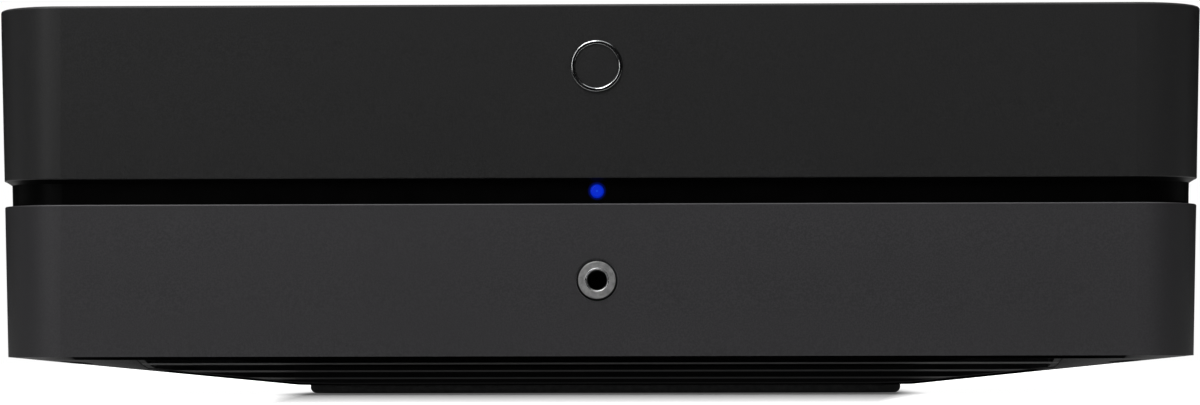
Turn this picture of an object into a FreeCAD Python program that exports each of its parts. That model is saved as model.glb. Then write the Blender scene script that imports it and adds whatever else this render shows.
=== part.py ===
import FreeCAD, Part
import math
import os
from FreeCAD import Vector

# Streaming amplifier, millimetres
# X runs to the right seen from the front, the front faces -Y, Z is up.
# The origin is the middle of the foot's resting face.

# Case
case_width = 220.0
case_depth = 190.0
case_height = 70.5
case_draft = 1.46
corner_radius = 13.0
case_wall = 2.5
top_wall = 2.5
top_edge_radius = 0.5
split_edge_radius = 0.25
seat_gap = 0.05
overrun = 1.0
corner_sliver = 0.01

# Heights of the split between the two shells
hull_height = 5.4
lower_wall_height = 27.5
groove_height = 4.6

# Foot and sloped underside
foot_thickness = 1.6
foot_width = 114.6
foot_depth = 93.0
foot_corner = 9.0
foot_recess = 0.6
foot_edge_radius = 1.2
foot_rim = 2.4
hull_wall = 2.0

# Waist band between the shells
groove_depth = 1.4
band_wall = 2.4
band_lip = 3.0
band_bevel_height = 0.7
band_bevel_width = 1.1

# Vents in the front and rear slopes
vent_side = 26.0
vent_rim = 4.7
vent_foot_gap = 1.2
vent_side_gap = 2.0
vent_frame = 1.2
vent_flange = 2.5
vent_flange_thickness = 1.2
vent_skin_setback = 0.15
rib_count = 3
rib_first_drop = 1.3
rib_pitch = 1.37
rib_thickness = 0.4
rib_depth = 5.0

# Case screws and their posts
case_post_inset = 13.0
case_post_radius = 4.2
case_post_joint = 1.5
case_screw_radius = 1.5
case_screw_length = 14.0
case_screw_head_radius = 2.9
case_screw_head_height = 2.2
case_screw_seat = 6.0
case_screw_bite = 8.0
screw_clearance = 0.05
head_clearance = 0.3
screw_slot = 0.7
screw_slot_reach = 0.6
tip_clearance = 1.0

# Rear recess and its panel
recess_depth = 15.0
recess_side = 24.0
recess_bottom = 13.5
recess_drop = 9.5
recess_corner = 5.0
panel_thickness = 2.0
tray_wall = 1.8
tray_setback = 0.25
tray_flange = 1.2
tray_flange_thickness = 1.8
tray_gap = 0.15

# Panel screws
panel_screw_side = 6.0
panel_screw_low = 4.0
panel_screw_high = 8.0
panel_screw_radius = 1.45
panel_screw_length = 7.0
panel_screw_head_radius = 2.6
panel_screw_head_height = 1.6
panel_screw_crown = 1.0
panel_boss_width = 8.0
panel_boss_depth = 8.0
panel_boss_below = 4.0

# Touch window on the top
touch_width = 104.0
touch_depth = 22.0
touch_corner = 4.0
touch_thickness = 1.2
touch_sink = 0.1
touch_front_inset = 11.0

# Plain ring badge
badge_radius = 4.7
badge_stroke = 0.8
badge_drop = 11.2
badge_pocket = 0.4
badge_stand = 0.3

# Status light in the groove
light_radius = 1.2
light_proud = 0.15
light_tail = 0.8
light_dome = 0.4

# Headphone socket in the front
headphone_height = 20.7
headphone_hole_radius = 3.9
headphone_ring_radius = 3.5
headphone_ring_proud = 0.35
headphone_ring_bevel = 0.35
minijack_bore_radius = 1.8
minijack_bore_length = 14.0
minijack_width = 7.6
minijack_height = 7.0
minijack_axis_height = 3.5
headphone_body_depth = 12.0
headphone_board_width = 18.0
headphone_board_depth = 14.0
headphone_shelf = 3.0

# Chassis plate and boards
chassis_height = 10.0
chassis_thickness = 1.5
chassis_side_gap = 12.0
chassis_front_gap = 21.0
chassis_tab_width = 8.0
chassis_tab_height = 11.0
chassis_boss_radius = 3.5
chassis_boss_side = 18.0
chassis_slot_width = 4.0
chassis_slot_length = 14.0
chassis_slot_count = 6
board_thickness = 1.6
standoff_radius = 2.6
low_standoff = 2.9
tall_standoff = 24.0
board_screw_radius = 1.4
board_screw_length = 5.0
board_screw_head_radius = 2.6
board_screw_head_height = 1.8
board_panel_gap = 2.0
board_hole_inset = 4.0
chassis_boss_front = 22.0
chassis_boss_rear = 10.5

# Main board and what it carries
main_aisle = 4.6
main_side_gap = 16.6
main_depth = 62.0
shield_width = 44.0
shield_depth = 30.0
shield_height = 5.0
shield_wall = 0.3
shield_from_left = 12.0
shield_from_front = 5.0
wireless_width = 16.0
wireless_depth = 22.0
wireless_height = 2.6
wireless_from_right = 6.0
wireless_from_front = 14.0

# Amplifier board and its heat sink
amp_depth = 76.5
amp_rear_gap = 0.5
chip_width = 14.0
chip_depth = 10.0
chip_thickness = 3.5
chip_count = 4
inductor_size = 13.0
inductor_height = 9.0
inductor_count = 4
inductor_corner = 2.0
sink_left_gap = 4.0
sink_right_gap = 8.0
sink_depth = 56.0
sink_base = 5.0
sink_rear_wall = 12.0
sink_fin_height = 18.0
sink_fin_thickness = 1.6
sink_fin_count = 18

# Power board and what it carries
power_width = 46.0
power_front_gap = 6.5
power_rear_gap = 20.0
power_end_margin = 8.0
power_side_gap = 12.0
core_width = 30.0
core_depth = 22.0
core_height = 27.0
core_leg = 7.0
winding_corner = 3.0
winding_gap = 0.3
bulk_radius = 9.0
bulk_height = 28.0
bulk_spacing = 20.5
output_radius = 5.0
output_height = 20.0
output_spacing = 11.5
output_count = 3
choke_radius = 8.5
choke_wire_radius = 4.0
choke_sink = 0.3
choke_from_left = 15.0
fuse_radius = 2.6
fuse_length = 20.0
fuse_side = 6.0
fuse_lift = 0.6
fuse_clip = 4.0
fuse_clip_wall = 0.4

# Mains inlet, for the common two-pin figure-eight lead
inlet_side = 20.0
inlet_z = 34.0
inlet_body_width = 20.0
inlet_body_height = 12.4
inlet_body_depth = 18.0
inlet_flange_width = 25.0
inlet_flange_height = 17.0
inlet_flange_thickness = 1.2
inlet_flange_corner = 2.0
inlet_mouth_width = 16.4
inlet_mouth_height = 9.0
inlet_mouth_depth = 11.0
inlet_pin_radius = 1.2
inlet_pin_pitch = 8.6
inlet_pin_setback = 1.6
inlet_pin_round = 0.7
inlet_pin_tail = 4.0
inlet_wire_radius = 0.9
inlet_wire_run = 12.0

# Sockets of the lower row, spread evenly over the main board
row_left_margin = 11.0
row_right_margin = 17.4
rear_jack_count = 3

# Network socket
lan_width = 16.0
lan_height = 13.5
lan_depth = 21.5
lan_proud = 1.0
lan_shield = 0.4
lan_mouth_width = 11.9
lan_mouth_height = 7.2
lan_mouth_depth = 13.0
lan_mouth_rise = 3.6
lan_latch_width = 6.2
lan_latch_height = 2.0
lan_insert_setback = 0.4

# Flat digital sockets
usb_width = 13.2
usb_height = 5.8
usb_depth = 16.8
usb_rise = 0.5
usb_tongue_width = 11.0
usb_tongue_height = 1.9
video_width = 15.0
video_height = 5.6
video_depth = 13.0
video_rise = 0.3
video_slope = 2.2
video_tongue_width = 11.2
video_tongue_height = 1.3
socket_proud = 0.8
socket_shell = 0.35
tongue_setback = 1.0
socket_back = 2.0
socket_corner = 0.6
socket_foot = 2.0
socket_foot_from_back = 4.0
socket_foot_bite = 1.0
tongue_drop = 0.6
video_tongue_rise = 0.3
cutout_gap = 0.15

# Round jacks in the rear
rear_jack_depth = 12.0
rear_jack_nose_radius = 3.0
rear_jack_nose_proud = 0.6

# Subwoofer socket
subwoofer_axis_height = 6.0
subwoofer_body_width = 10.4
subwoofer_body_height = 11.0
subwoofer_body_depth = 10.0
subwoofer_barrel_radius = 4.15
subwoofer_barrel_length = 8.6
subwoofer_barrel_wall = 0.6
subwoofer_collar_radius = 5.6
subwoofer_collar_thickness = 0.8
subwoofer_bore_radius = 1.6
subwoofer_insulator_setback = 0.8

# Speaker binding posts
post_side = 20.0
post_pitch = 19.0
post_pair_pitch = 57.0
post_height = 46.0
post_radius = 3.0
post_banana_radius = 2.05
post_banana_depth = 20.5
post_wire_radius = 1.25
post_length = 13.0
post_collar_radius = 6.3
post_collar_thickness = 2.4
post_bush_radius = 4.0
post_nut_radius = 5.0
post_nut_thickness = 2.0
post_bush_tail = 1.0
post_inner_length = 4.0
post_tail_radius = 1.5
post_tail_length = 2.0
washer_radius = 5.5
washer_thickness = 0.8
washer_neck_radius = 3.65
washer_neck_length = 1.2
knob_radius = 6.2
knob_end_wall = 0.8
knob_pocket_length = 3.8
knob_mouth_radius = 2.6
knob_flute_count = 20
knob_flute_radius = 0.55
knob_end_bevel = 0.5
running_clearance = 0.06
wire_hole_offset = 2.2
strap_width = 6.0
strap_thickness = 0.8
strap_rise = 8.0

# Front boards, ribbons and leads inside
light_board_width = 18.0
light_board_height = 10.0
light_peg_x = 6.5
light_peg_radius = 1.4
light_peg_length = 1.4
ribbon_thickness = 0.4
ribbon_width = 8.0
ribbon_bend = 3.0
ribbon_drop = 6.0
ribbon_overlap = 1.0
ribbon_over_jack = 2.0
harness_wire_radius = 0.7
harness_wire_pitch = 2.2
harness_wire_count = 4
harness_rise = 14.4
harness_inset = 2.2
harness_end_inset = 9.0
harness_from_front = 14.5
antenna_width = 34.0
antenna_height = 12.0
antenna_thickness = 0.8
antenna_drop = 2.9
antenna_y = (46.0, -52.0)
antenna_lead_radius = 0.6
antenna_lead_inset = 4.0
antenna_lead_rise = 10.0
antenna_lead_low_rise = 6.0

# Levels worked out from the sizes above
hull_top = foot_thickness + hull_height
lower_top = hull_top + lower_wall_height
upper_bottom = lower_top + groove_height
ceiling = case_height - top_wall
hull_floor = foot_thickness + hull_wall
chassis_top = chassis_height + chassis_thickness
board_bottom = chassis_top + low_standoff
board_top = board_bottom + board_thickness
amp_bottom = board_top + tall_standoff
amp_top = amp_bottom + board_thickness
panel_outer = case_depth / 2 - recess_depth
panel_inner = panel_outer - panel_thickness
recess_width = case_width - 2 * recess_side
vent_width = case_width - 2 * vent_side
recess_top = case_height - recess_drop
badge_height = case_height - badge_drop
panel_screw_x = recess_width / 2 - panel_screw_side
inlet_x = inlet_side - recess_width / 2
post_xs = [recess_width / 2 - post_side - pair * post_pair_pitch - place * post_pitch
           for pair in (0, 1) for place in (0, 1)]
post_joint = lower_top + case_post_joint
reach = case_width + case_depth


def narrowing(z):
    """How far the drafted wall at height z stands inside the wall at the top."""
    return (case_height - z) * math.tan(math.radians(case_draft))


def half_width(z, inset=0.0):
    return case_width / 2 - narrowing(z) - inset


def half_depth(z, inset=0.0):
    return case_depth / 2 - narrowing(z) - inset


def box(x0, x1, y0, y1, z0, z1):
    return Part.makeBox(x1 - x0, y1 - y0, z1 - z0, Vector(x0, y0, z0))


def rod_y(x, y0, y1, z, radius):
    """A round bar along Y."""
    return Part.makeCylinder(radius, y1 - y0, Vector(x, y0, z), Vector(0, 1, 0))


def rod_z(x, y, z0, z1, radius):
    """A round bar along Z."""
    return Part.makeCylinder(radius, z1 - z0, Vector(x, y, z0))


def rounded_outline(half_x, half_y, radius, place):
    """A rounded rectangle as a wire, where place turns flat points into space."""
    steps = ((1, 1, 0), (-1, 1, 90), (-1, -1, 180), (1, -1, 270))
    arcs = []
    for side_x, side_y, start in steps:
        centre_x = side_x * (half_x - radius)
        centre_y = side_y * (half_y - radius)
        points = []
        for turn in (0, 45, 90):
            angle = math.radians(start + turn)
            points.append(place(centre_x + radius * math.cos(angle),
                                centre_y + radius * math.sin(angle)))
        arcs.append(points)
    edges = []
    for index, points in enumerate(arcs):
        edges.append(Part.Arc(*points).toShape())
        edges.append(Part.LineSegment(points[2], arcs[(index + 1) % 4][0]).toShape())
    return Part.Wire(edges)


def flat_outline(half_x, half_y, radius, z):
    return rounded_outline(half_x, half_y, radius, lambda x, y: Vector(x, y, z))


def slab(x, y, half_x, half_y, radius, z0, z1):
    """An upright plate with rounded corners."""
    wire = rounded_outline(half_x, half_y, radius, lambda u, v: Vector(x + u, y + v, z0))
    return Part.Face(wire).extrude(Vector(0, 0, z1 - z0))


def plug_y(x, z, half_x, half_z, radius, y0, y1):
    """A bar along Y with a rounded rectangular section."""
    wire = rounded_outline(half_x, half_z, radius, lambda u, v: Vector(x + u, y0, z + v))
    return Part.Face(wire).extrude(Vector(0, y1 - y0, 0))


def case_outline(z, inset=0.0):
    radius = corner_radius - narrowing(z) - inset
    return flat_outline(half_width(z, inset), half_depth(z, inset), radius, z)


def case_block(inset, z0, z1):
    """The case's drafted outline between two heights, drawn in by inset."""
    return Part.makeLoft([case_outline(z0, inset), case_outline(z1, inset)], True, True)


def foot_outline(z, grow=0.0):
    return flat_outline(foot_width / 2 + grow, foot_depth / 2 + grow, foot_corner + grow, z)


def hull_block(lift=0.0, inset=0.0):
    """The sloped underside and the walls over it, raised by lift and drawn in by inset."""
    low = foot_outline(foot_thickness + lift, foot_rim)
    middle = flat_outline(half_width(hull_top, inset), half_depth(hull_top, inset),
                          corner_radius - narrowing(hull_top) - inset, hull_top + lift)
    slope = Part.makeLoft([low, middle], True, True)
    walls = case_block(inset, hull_top + lift, case_height + lift)
    return slope.fuse(walls)


def polygon_prism(points, z0, z1):
    corners = [Vector(x, y, z0) for x, y in points]
    return Part.Face(Part.makePolygon(corners + corners[:1])).extrude(Vector(0, 0, z1 - z0))


def joined(shapes):
    """Fuses a list of shapes into one solid."""
    result = shapes[0].multiFuse(shapes[1:]) if len(shapes) > 1 else shapes[0]
    return result.removeSplitter()


def path_of(points, largest_bend=None):
    """Straight runs joined by tangent arcs, each as large as its runs allow."""
    edges = []
    start = points[0]
    for before, corner, after in zip(points, points[1:], points[2:]):
        into = corner - before
        out = after - corner
        half_turn = into.getAngle(out) / 2
        trim = 0.45 * min(into.Length, out.Length)
        if largest_bend:
            trim = min(trim, largest_bend * math.tan(half_turn))
        radius = trim / math.tan(half_turn)
        into.normalize()
        out.normalize()
        first = corner - into * trim
        last = corner + out * trim
        towards = out - into
        towards.normalize()
        centre = corner + towards * (radius / math.cos(half_turn))
        middle = centre - towards * radius
        edges.append(Part.LineSegment(start, first).toShape())
        edges.append(Part.Arc(first, middle, last).toShape())
        start = last
    edges.append(Part.LineSegment(start, points[-1]).toShape())
    return Part.Wire(edges)


def lead(points, radius):
    """A round insulated lead along a path."""
    path = path_of(points)
    direction = points[1] - points[0]
    ring = Part.Wire(Part.Circle(points[0], direction, radius).toShape())
    return path.makePipeShell([ring], True, False)


def outer_recess(gap=0.0):
    """The outside of the rear tray, as the shells' cut-out takes it."""
    centre_z = (recess_bottom + recess_top) / 2
    half_z = (recess_top - recess_bottom) / 2 + tray_wall + gap
    half_x = recess_width / 2 + tray_wall + gap
    return plug_y(0, centre_z, half_x, half_z, recess_corner + tray_wall, panel_inner - gap, reach)


def recess_flange(grow):
    centre_z = (recess_bottom + recess_top) / 2
    half_z = (recess_top - recess_bottom) / 2 + tray_wall + grow
    half_x = recess_width / 2 + tray_wall + grow
    return plug_y(0, centre_z, half_x, half_z, recess_corner + tray_wall + grow, panel_inner, reach)


# Case screws stand in the four corners
case_post_places = [(side_x * (half_width(lower_top) - case_post_inset),
                     side_y * (half_depth(lower_top) - case_post_inset))
                    for side_x in (-1, 1) for side_y in (-1, 1)]
case_screw_seat_z = post_joint - case_screw_seat

# Panel screws stand in the corners of the recess
panel_screw_low_z = recess_bottom + panel_screw_low
panel_screw_high_z = recess_top - panel_screw_high
panel_screw_places = [(side * panel_screw_x, z) for side in (-1, 1)
                      for z in (panel_screw_low_z, panel_screw_high_z)]

# Front slope, measured from the foot outwards
hull_run_y = half_depth(hull_top) - foot_depth / 2 - foot_rim
hull_run_x = half_width(hull_top) - foot_width / 2 - foot_rim
hull_slope_y = hull_height / hull_run_y


def vent_outline(shrink=0.0):
    """The front vent in plan: straight in front, and drawn in along the corner ridges."""
    front = half_depth(hull_top) - vent_rim - shrink
    back = foot_depth / 2 + foot_rim + vent_foot_gap + shrink
    side = vent_width / 2 - shrink
    ridge_ratio = hull_run_x / hull_run_y

    def ridge_x(y):
        ridge = foot_width / 2 + foot_rim + (y - foot_depth / 2 - foot_rim) * ridge_ratio
        return ridge - vent_side_gap - shrink

    outward = side + vent_side_gap + shrink - foot_width / 2 - foot_rim
    turn = foot_depth / 2 + foot_rim + outward / ridge_ratio
    return [(-side, -front), (side, -front), (side, -turn), (ridge_x(back), -back),
            (-ridge_x(back), -back), (-side, -turn)]


def vent_prism(shrink=0.0):
    return polygon_prism(vent_outline(shrink), 0.0, hull_top + hull_wall + vent_flange_thickness)


def turned_round(shape):
    """The same shape turned half a turn about Z, for the rear slope."""
    copy = shape.copy()
    copy.rotate(Vector(0, 0, 0), Vector(0, 0, 1), 180)
    return copy


def make_vent_grille():
    skin = hull_block(vent_skin_setback)
    over_plate = hull_block(hull_wall, case_wall)
    over_flange = hull_block(hull_wall + vent_flange_thickness, case_wall)
    opening = vent_prism(seat_gap)
    ring = opening.cut(vent_prism(seat_gap + vent_frame)).common(skin).cut(over_flange)
    flange = vent_prism(-vent_flange).cut(vent_prism(seat_gap + vent_frame))
    flange = flange.common(over_plate).cut(over_flange)
    pieces = [ring, flange]
    for index in range(rib_count):
        z = hull_top - rib_first_drop - index * rib_pitch
        front = foot_depth / 2 + foot_rim + (z - foot_thickness) / hull_slope_y
        rib = box(-vent_width / 2, vent_width / 2, -front, -front + rib_depth,
                  z - rib_thickness / 2, z + rib_thickness / 2)
        pieces.append(rib.common(opening).common(skin))
    return joined(pieces)


def make_foot_pad():
    pad = Part.Face(foot_outline(0.0)).extrude(Vector(0, 0, foot_thickness + foot_recess - seat_gap))
    rim = [edge for edge in pad.Edges if max(vertex.Z for vertex in edge.Vertexes) < 1e-6]
    return pad.makeFillet(foot_edge_radius, rim)


def round_rim(block, z, radius):
    """Rounds the rim of a solid block at height z."""
    rim = [edge for edge in block.Edges if all(abs(vertex.Z - z) < 1e-6 for vertex in edge.Vertexes)]
    return block.makeFillet(radius, rim)


def make_lower_shell():
    outside = hull_block().common(box(-reach, reach, -reach, reach, 0, lower_top))
    outside = round_rim(outside, lower_top, split_edge_radius)
    shell = outside.cut(hull_block(hull_wall, case_wall))
    additions = []
    for x, y in case_post_places:
        additions.append(rod_z(x, y, 0, post_joint, case_post_radius).common(hull_block()))
    for x, y in chassis_boss_places:
        additions.append(rod_z(x, y, 0, chassis_height, chassis_boss_radius).common(hull_block()))
    shelf_front = -half_depth(headphone_board_z, case_wall / 2)
    additions.append(box(-headphone_board_width / 2, headphone_board_width / 2, shelf_front,
                         headphone_board_rear, headphone_board_z - headphone_shelf, headphone_board_z))
    shell = joined([shell] + additions)
    holes = [Part.Face(foot_outline(0, seat_gap)).extrude(Vector(0, 0, foot_thickness + foot_recess)),
             vent_prism(), turned_round(vent_prism()), outer_recess(tray_gap),
             rod_y(0, -reach, headphone_body_front, headphone_height, headphone_hole_radius)]
    for x, y in case_post_places:
        holes.append(rod_z(x, y, 0, case_screw_seat_z, case_screw_head_radius + head_clearance))
        holes.append(rod_z(x, y, 0, post_joint, case_screw_radius + screw_clearance))
    for x, y in chassis_boss_places:
        holes.append(rod_z(x, y, chassis_top - board_screw_length - tip_clearance, chassis_top,
                           board_screw_radius + screw_clearance))
    return shell.cut(holes)


def make_upper_shell():
    outside = case_block(0, upper_bottom, case_height)
    outside = round_rim(outside, case_height, top_edge_radius)
    outside = round_rim(outside, upper_bottom, split_edge_radius)
    shell = outside.cut(case_block(case_wall, upper_bottom - overrun, ceiling))
    additions = []
    for x, y in case_post_places:
        additions.append(rod_z(x, y, post_joint + seat_gap, ceiling + seat_gap, case_post_radius))
    for side in (-1, 1):
        additions.append(box(side * panel_screw_x - panel_boss_width / 2,
                             side * panel_screw_x + panel_boss_width / 2,
                             panel_inner - panel_boss_depth, panel_inner,
                             panel_screw_high_z - panel_boss_below, ceiling + seat_gap))
    shell = joined([shell] + additions)
    holes = [outer_recess(tray_gap), touch_slab(seat_gap, overrun),
             badge_ring(seat_gap, badge_pocket)]
    for x, y in case_post_places:
        holes.append(rod_z(x, y, post_joint, post_joint + case_screw_bite + tip_clearance,
                           case_screw_radius + screw_clearance))
    for x, z in panel_screw_places:
        holes.append(rod_y(x, panel_outer - panel_screw_length - tip_clearance, panel_outer, z,
                           panel_screw_radius + screw_clearance))
    return shell.cut(holes)


def make_waist_band():
    body = case_block(groove_depth, lower_top, upper_bottom)
    bevel_top = case_outline(upper_bottom, groove_depth - band_bevel_width)
    bevel_low = case_outline(upper_bottom - band_bevel_height, groove_depth)
    body = body.fuse(Part.makeLoft([bevel_low, bevel_top], True, True))
    lip = case_block(case_wall + seat_gap, lower_top - band_lip, upper_bottom + band_lip)
    hollow = case_block(groove_depth + band_wall, lower_top - band_lip - overrun,
                        upper_bottom + band_lip + overrun)
    band = body.fuse(lip).cut(hollow)
    pegs = []
    for side in (-1, 1):
        pegs.append(rod_y(side * light_peg_x, light_wall_y - seat_gap, light_wall_y + light_peg_length,
                          light_height, light_peg_radius))
    band = joined([band] + pegs)
    gap = box(-flange_half_width - seat_gap, flange_half_width + seat_gap, 0, reach, 0, case_height)
    light = rod_y(0, -reach, 0, light_height, light_radius + seat_gap)
    return band.cut([gap, light])


def make_rear_panel():
    centre_z = (recess_bottom + recess_top) / 2
    tray = outer_recess().common(hull_block(0, tray_setback))
    collar = recess_flange(tray_flange)
    layer = hull_block(0, case_wall + seat_gap)
    layer = layer.cut(hull_block(0, case_wall + seat_gap + tray_flange_thickness))
    collar = collar.common(layer)
    inside = plug_y(0, centre_z, recess_width / 2, (recess_top - recess_bottom) / 2, recess_corner,
                    panel_outer, reach)
    tray = tray.fuse(collar).cut(inside)
    holes = [box(lan_x - lan_width / 2 - cutout_gap, lan_x + lan_width / 2 + cutout_gap, 0, reach,
                 board_top - cutout_gap, board_top + lan_height + cutout_gap),
             usb_section(cutout_gap, 0, reach), video_section(cutout_gap, 0, reach),
             plug_y(inlet_x, inlet_z, inlet_body_width / 2 + cutout_gap,
                    inlet_body_height / 2 + cutout_gap,
                    inlet_flange_corner, 0, reach),
             rod_y(subwoofer_x, 0, reach, subwoofer_z, subwoofer_barrel_radius + cutout_gap)]
    for x in rear_jack_xs:
        holes.append(rod_y(x, 0, reach, jack_z, rear_jack_nose_radius + cutout_gap))
    for x in post_xs:
        holes.append(rod_y(x, 0, reach, post_height, post_bush_radius + seat_gap))
    for x, z in panel_screw_places:
        holes.append(rod_y(x, 0, reach, z, panel_screw_radius + cutout_gap))
    return tray.cut(holes).removeSplitter()


def make_case_screws():
    screws = []
    for x, y in case_post_places:
        head = rod_z(x, y, case_screw_seat_z - case_screw_head_height, case_screw_seat_z,
                     case_screw_head_radius)
        shank = rod_z(x, y, case_screw_seat_z - seat_gap, case_screw_seat_z + case_screw_length,
                      case_screw_radius)
        cross = case_screw_head_radius * screw_slot_reach
        slot = box(x - cross, x + cross, y - screw_slot / 2, y + screw_slot / 2,
                   case_screw_seat_z - case_screw_head_height,
                   case_screw_seat_z - case_screw_head_height / 2)
        other = slot.copy()
        other.rotate(Vector(x, y, 0), Vector(0, 0, 1), 90)
        screws.append(head.fuse(shank).cut([slot, other]).removeSplitter())
    return Part.makeCompound(screws)


def make_panel_screws():
    screws = []
    for x, z in panel_screw_places:
        head = rod_y(x, panel_outer, panel_outer + panel_screw_head_height, z, panel_screw_head_radius)
        crown = [edge for edge in head.Edges
                 if abs(edge.CenterOfMass.y - panel_outer - panel_screw_head_height) < 1e-6]
        head = head.makeFillet(panel_screw_crown, crown)
        shank = rod_y(x, panel_outer - panel_screw_length, panel_outer + seat_gap, z,
                      panel_screw_radius)
        cross = panel_screw_head_radius * screw_slot_reach
        slot = box(x - cross, x + cross, panel_outer + panel_screw_head_height / 2, reach,
                   z - screw_slot / 2, z + screw_slot / 2)
        other = slot.copy()
        other.rotate(Vector(x, 0, z), Vector(0, 1, 0), 90)
        screws.append(head.fuse(shank).cut([slot, other]).removeSplitter())
    return Part.makeCompound(screws)


def touch_slab(grow, above):
    front = half_depth(case_height) - touch_front_inset
    return slab(0, -front + touch_depth / 2, touch_width / 2 + grow, touch_depth / 2 + grow,
                touch_corner + grow,
                case_height - touch_thickness, case_height + above)


def badge_ring(grow, depth):
    """The ring lies on the front face, which leans by the draft."""
    ring = rod_y(0, -badge_stand, depth, 0, badge_radius + grow)
    ring = ring.cut(rod_y(0, -reach, reach, 0, badge_radius - badge_stroke - grow))
    ring.rotate(Vector(0, 0, 0), Vector(1, 0, 0), case_draft)
    ring.translate(Vector(0, -half_depth(badge_height), badge_height))
    return ring


def make_front_badge():
    ring = badge_ring(0.0, badge_pocket - seat_gap)
    return ring


# Status light and its board behind the band
light_height = (lower_top + upper_bottom) / 2
light_front_y = -half_depth(light_height, groove_depth)
light_wall_y = -half_depth(light_height, groove_depth + band_wall)
light_board_y = light_wall_y + light_peg_length


def make_status_light_lens():
    lens = rod_y(0, light_front_y - light_proud, light_wall_y + light_tail, light_height, light_radius)
    rim = [edge for edge in lens.Edges if abs(edge.CenterOfMass.y - light_front_y + light_proud) < 1e-6]
    return lens.makeFillet(light_dome, rim)


def make_light_board():
    board = box(-light_board_width / 2, light_board_width / 2, light_board_y,
                light_board_y + board_thickness,
                light_height - light_board_height / 2, light_height + light_board_height / 2)
    lamp = box(-light_radius, light_radius, light_wall_y + light_tail, light_board_y + seat_gap,
               light_height - light_radius, light_height + light_radius)
    return joined([board, lamp])


# Headphone socket: a threaded nose behind a metal ring, on its own small board
headphone_face = -half_depth(headphone_height)
headphone_board_z = headphone_height - minijack_axis_height - board_thickness
headphone_body_front = -half_depth(headphone_board_z - headphone_shelf, case_wall) + seat_gap
headphone_board_rear = headphone_body_front + headphone_board_depth


def make_headphone_jack_ring():
    front = headphone_face - headphone_ring_proud
    ring = rod_y(0, front, headphone_body_front, headphone_height, headphone_ring_radius)
    rim = [edge for edge in ring.Edges if abs(edge.CenterOfMass.y - front) < 1e-6]
    ring = ring.makeFillet(headphone_ring_bevel, rim)
    ring = ring.cut(rod_y(0, -reach, 0, headphone_height, minijack_bore_radius))
    mouth = [edge for edge in ring.Edges
             if abs(edge.CenterOfMass.y - front) < 1e-6
             and edge.Length < math.pi * (minijack_bore_radius + headphone_ring_radius)]
    return ring.makeChamfer(headphone_ring_bevel, mouth)


def jack_body(x, front, depth, axis_z, bore_end):
    """A plastic jack body with its bore, standing on the board below it."""
    body = box(x - minijack_width / 2, x + minijack_width / 2, min(front, front + depth),
               max(front, front + depth),
               axis_z - minijack_axis_height, axis_z - minijack_axis_height + minijack_height)
    return body.cut(rod_y(x, min(front, bore_end), max(front, bore_end), axis_z, minijack_bore_radius))


def make_headphone_jack_body():
    bore_end = headphone_face - headphone_ring_proud + minijack_bore_length
    return jack_body(0, headphone_body_front, headphone_body_depth, headphone_height, bore_end)


def make_headphone_board():
    return box(-headphone_board_width / 2, headphone_board_width / 2, headphone_body_front,
               headphone_board_rear,
               headphone_board_z, headphone_board_z + board_thickness)


# Touch board under the top
def make_touch_board():
    front = half_depth(case_height) - touch_front_inset
    return box(-touch_width / 2 + touch_corner, touch_width / 2 - touch_corner, -front,
               -front + touch_depth,
               ceiling - board_thickness, ceiling)


def make_front_ribbons():
    left = -ribbon_width / 2
    board_back = light_board_y + board_thickness + ribbon_thickness / 2
    touch_y = -half_depth(case_height) + touch_front_inset + touch_depth / 2
    touch_z = ceiling - board_thickness
    high_z = touch_z - ribbon_drop
    low_y = headphone_board_rear - ribbon_thickness
    low_z = headphone_board_z + board_thickness
    middle_z = headphone_height - minijack_axis_height + minijack_height + ribbon_over_jack
    up = [Vector(left, board_back, light_height + ribbon_overlap), Vector(left, board_back, high_z),
          Vector(left, touch_y, high_z), Vector(left, touch_y, touch_z)]
    down = [Vector(left, low_y, low_z), Vector(left, low_y, middle_z),
            Vector(left, board_back, middle_z),
            Vector(left, board_back, light_height - ribbon_overlap)]
    return Part.makeCompound([flat_strip(up), flat_strip(down)])


def flat_strip(points):
    """A flat cable along a path in the YZ plane, its width along X."""
    across = Vector(1, 0, 0)
    path = path_of(points, ribbon_bend)
    first = points[0]
    direction = points[1] - first
    direction.normalize()
    side = direction.cross(across)
    half = ribbon_thickness / 2
    corners = [first - side * half, first + side * half, first + side * half + across * ribbon_width,
               first - side * half + across * ribbon_width]
    return path.makePipeShell([Part.makePolygon(corners + corners[:1])], True, False)


# Chassis plate and its bosses
chassis_half_width = half_width(chassis_height) - chassis_side_gap
chassis_front = -half_depth(chassis_height) + chassis_front_gap
chassis_rear = panel_inner - chassis_thickness
chassis_boss_places = [(side * (half_width(chassis_height) - chassis_boss_side), y)
                       for side in (-1, 1)
                       for y in (chassis_front + chassis_boss_front, 0.0,
                                 chassis_rear - chassis_boss_rear)]

# Board outlines
power_left = -half_width(board_top) + power_side_gap
power_right = power_left + power_width
main_left = power_right + main_aisle
main_right = half_width(board_top) - main_side_gap
main_width = main_right - main_left
main_rear = panel_inner - board_panel_gap
main_front = main_rear - main_depth
amp_rear = panel_inner - post_bush_tail - post_nut_thickness - amp_rear_gap
amp_front = amp_rear - amp_depth
power_rear = panel_inner - power_rear_gap
power_front = chassis_front + power_front_gap
sink_right = main_right - sink_right_gap
sink_left = main_left + sink_left_gap
sink_width = sink_right - sink_left
sink_rear = amp_front + chip_depth
sink_front = sink_rear - sink_depth
main_hole_places = [(x, y) for x in (main_left + board_hole_inset, main_right - board_hole_inset)
                    for y in (main_front + board_hole_inset, main_rear - board_hole_inset)]
power_hole_places = [(x, y) for x in (power_left + board_hole_inset, power_right - board_hole_inset)
                     for y in (power_front + board_hole_inset, power_rear - board_hole_inset)]
flange_half_width = recess_width / 2 + tray_wall + tray_flange

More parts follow.
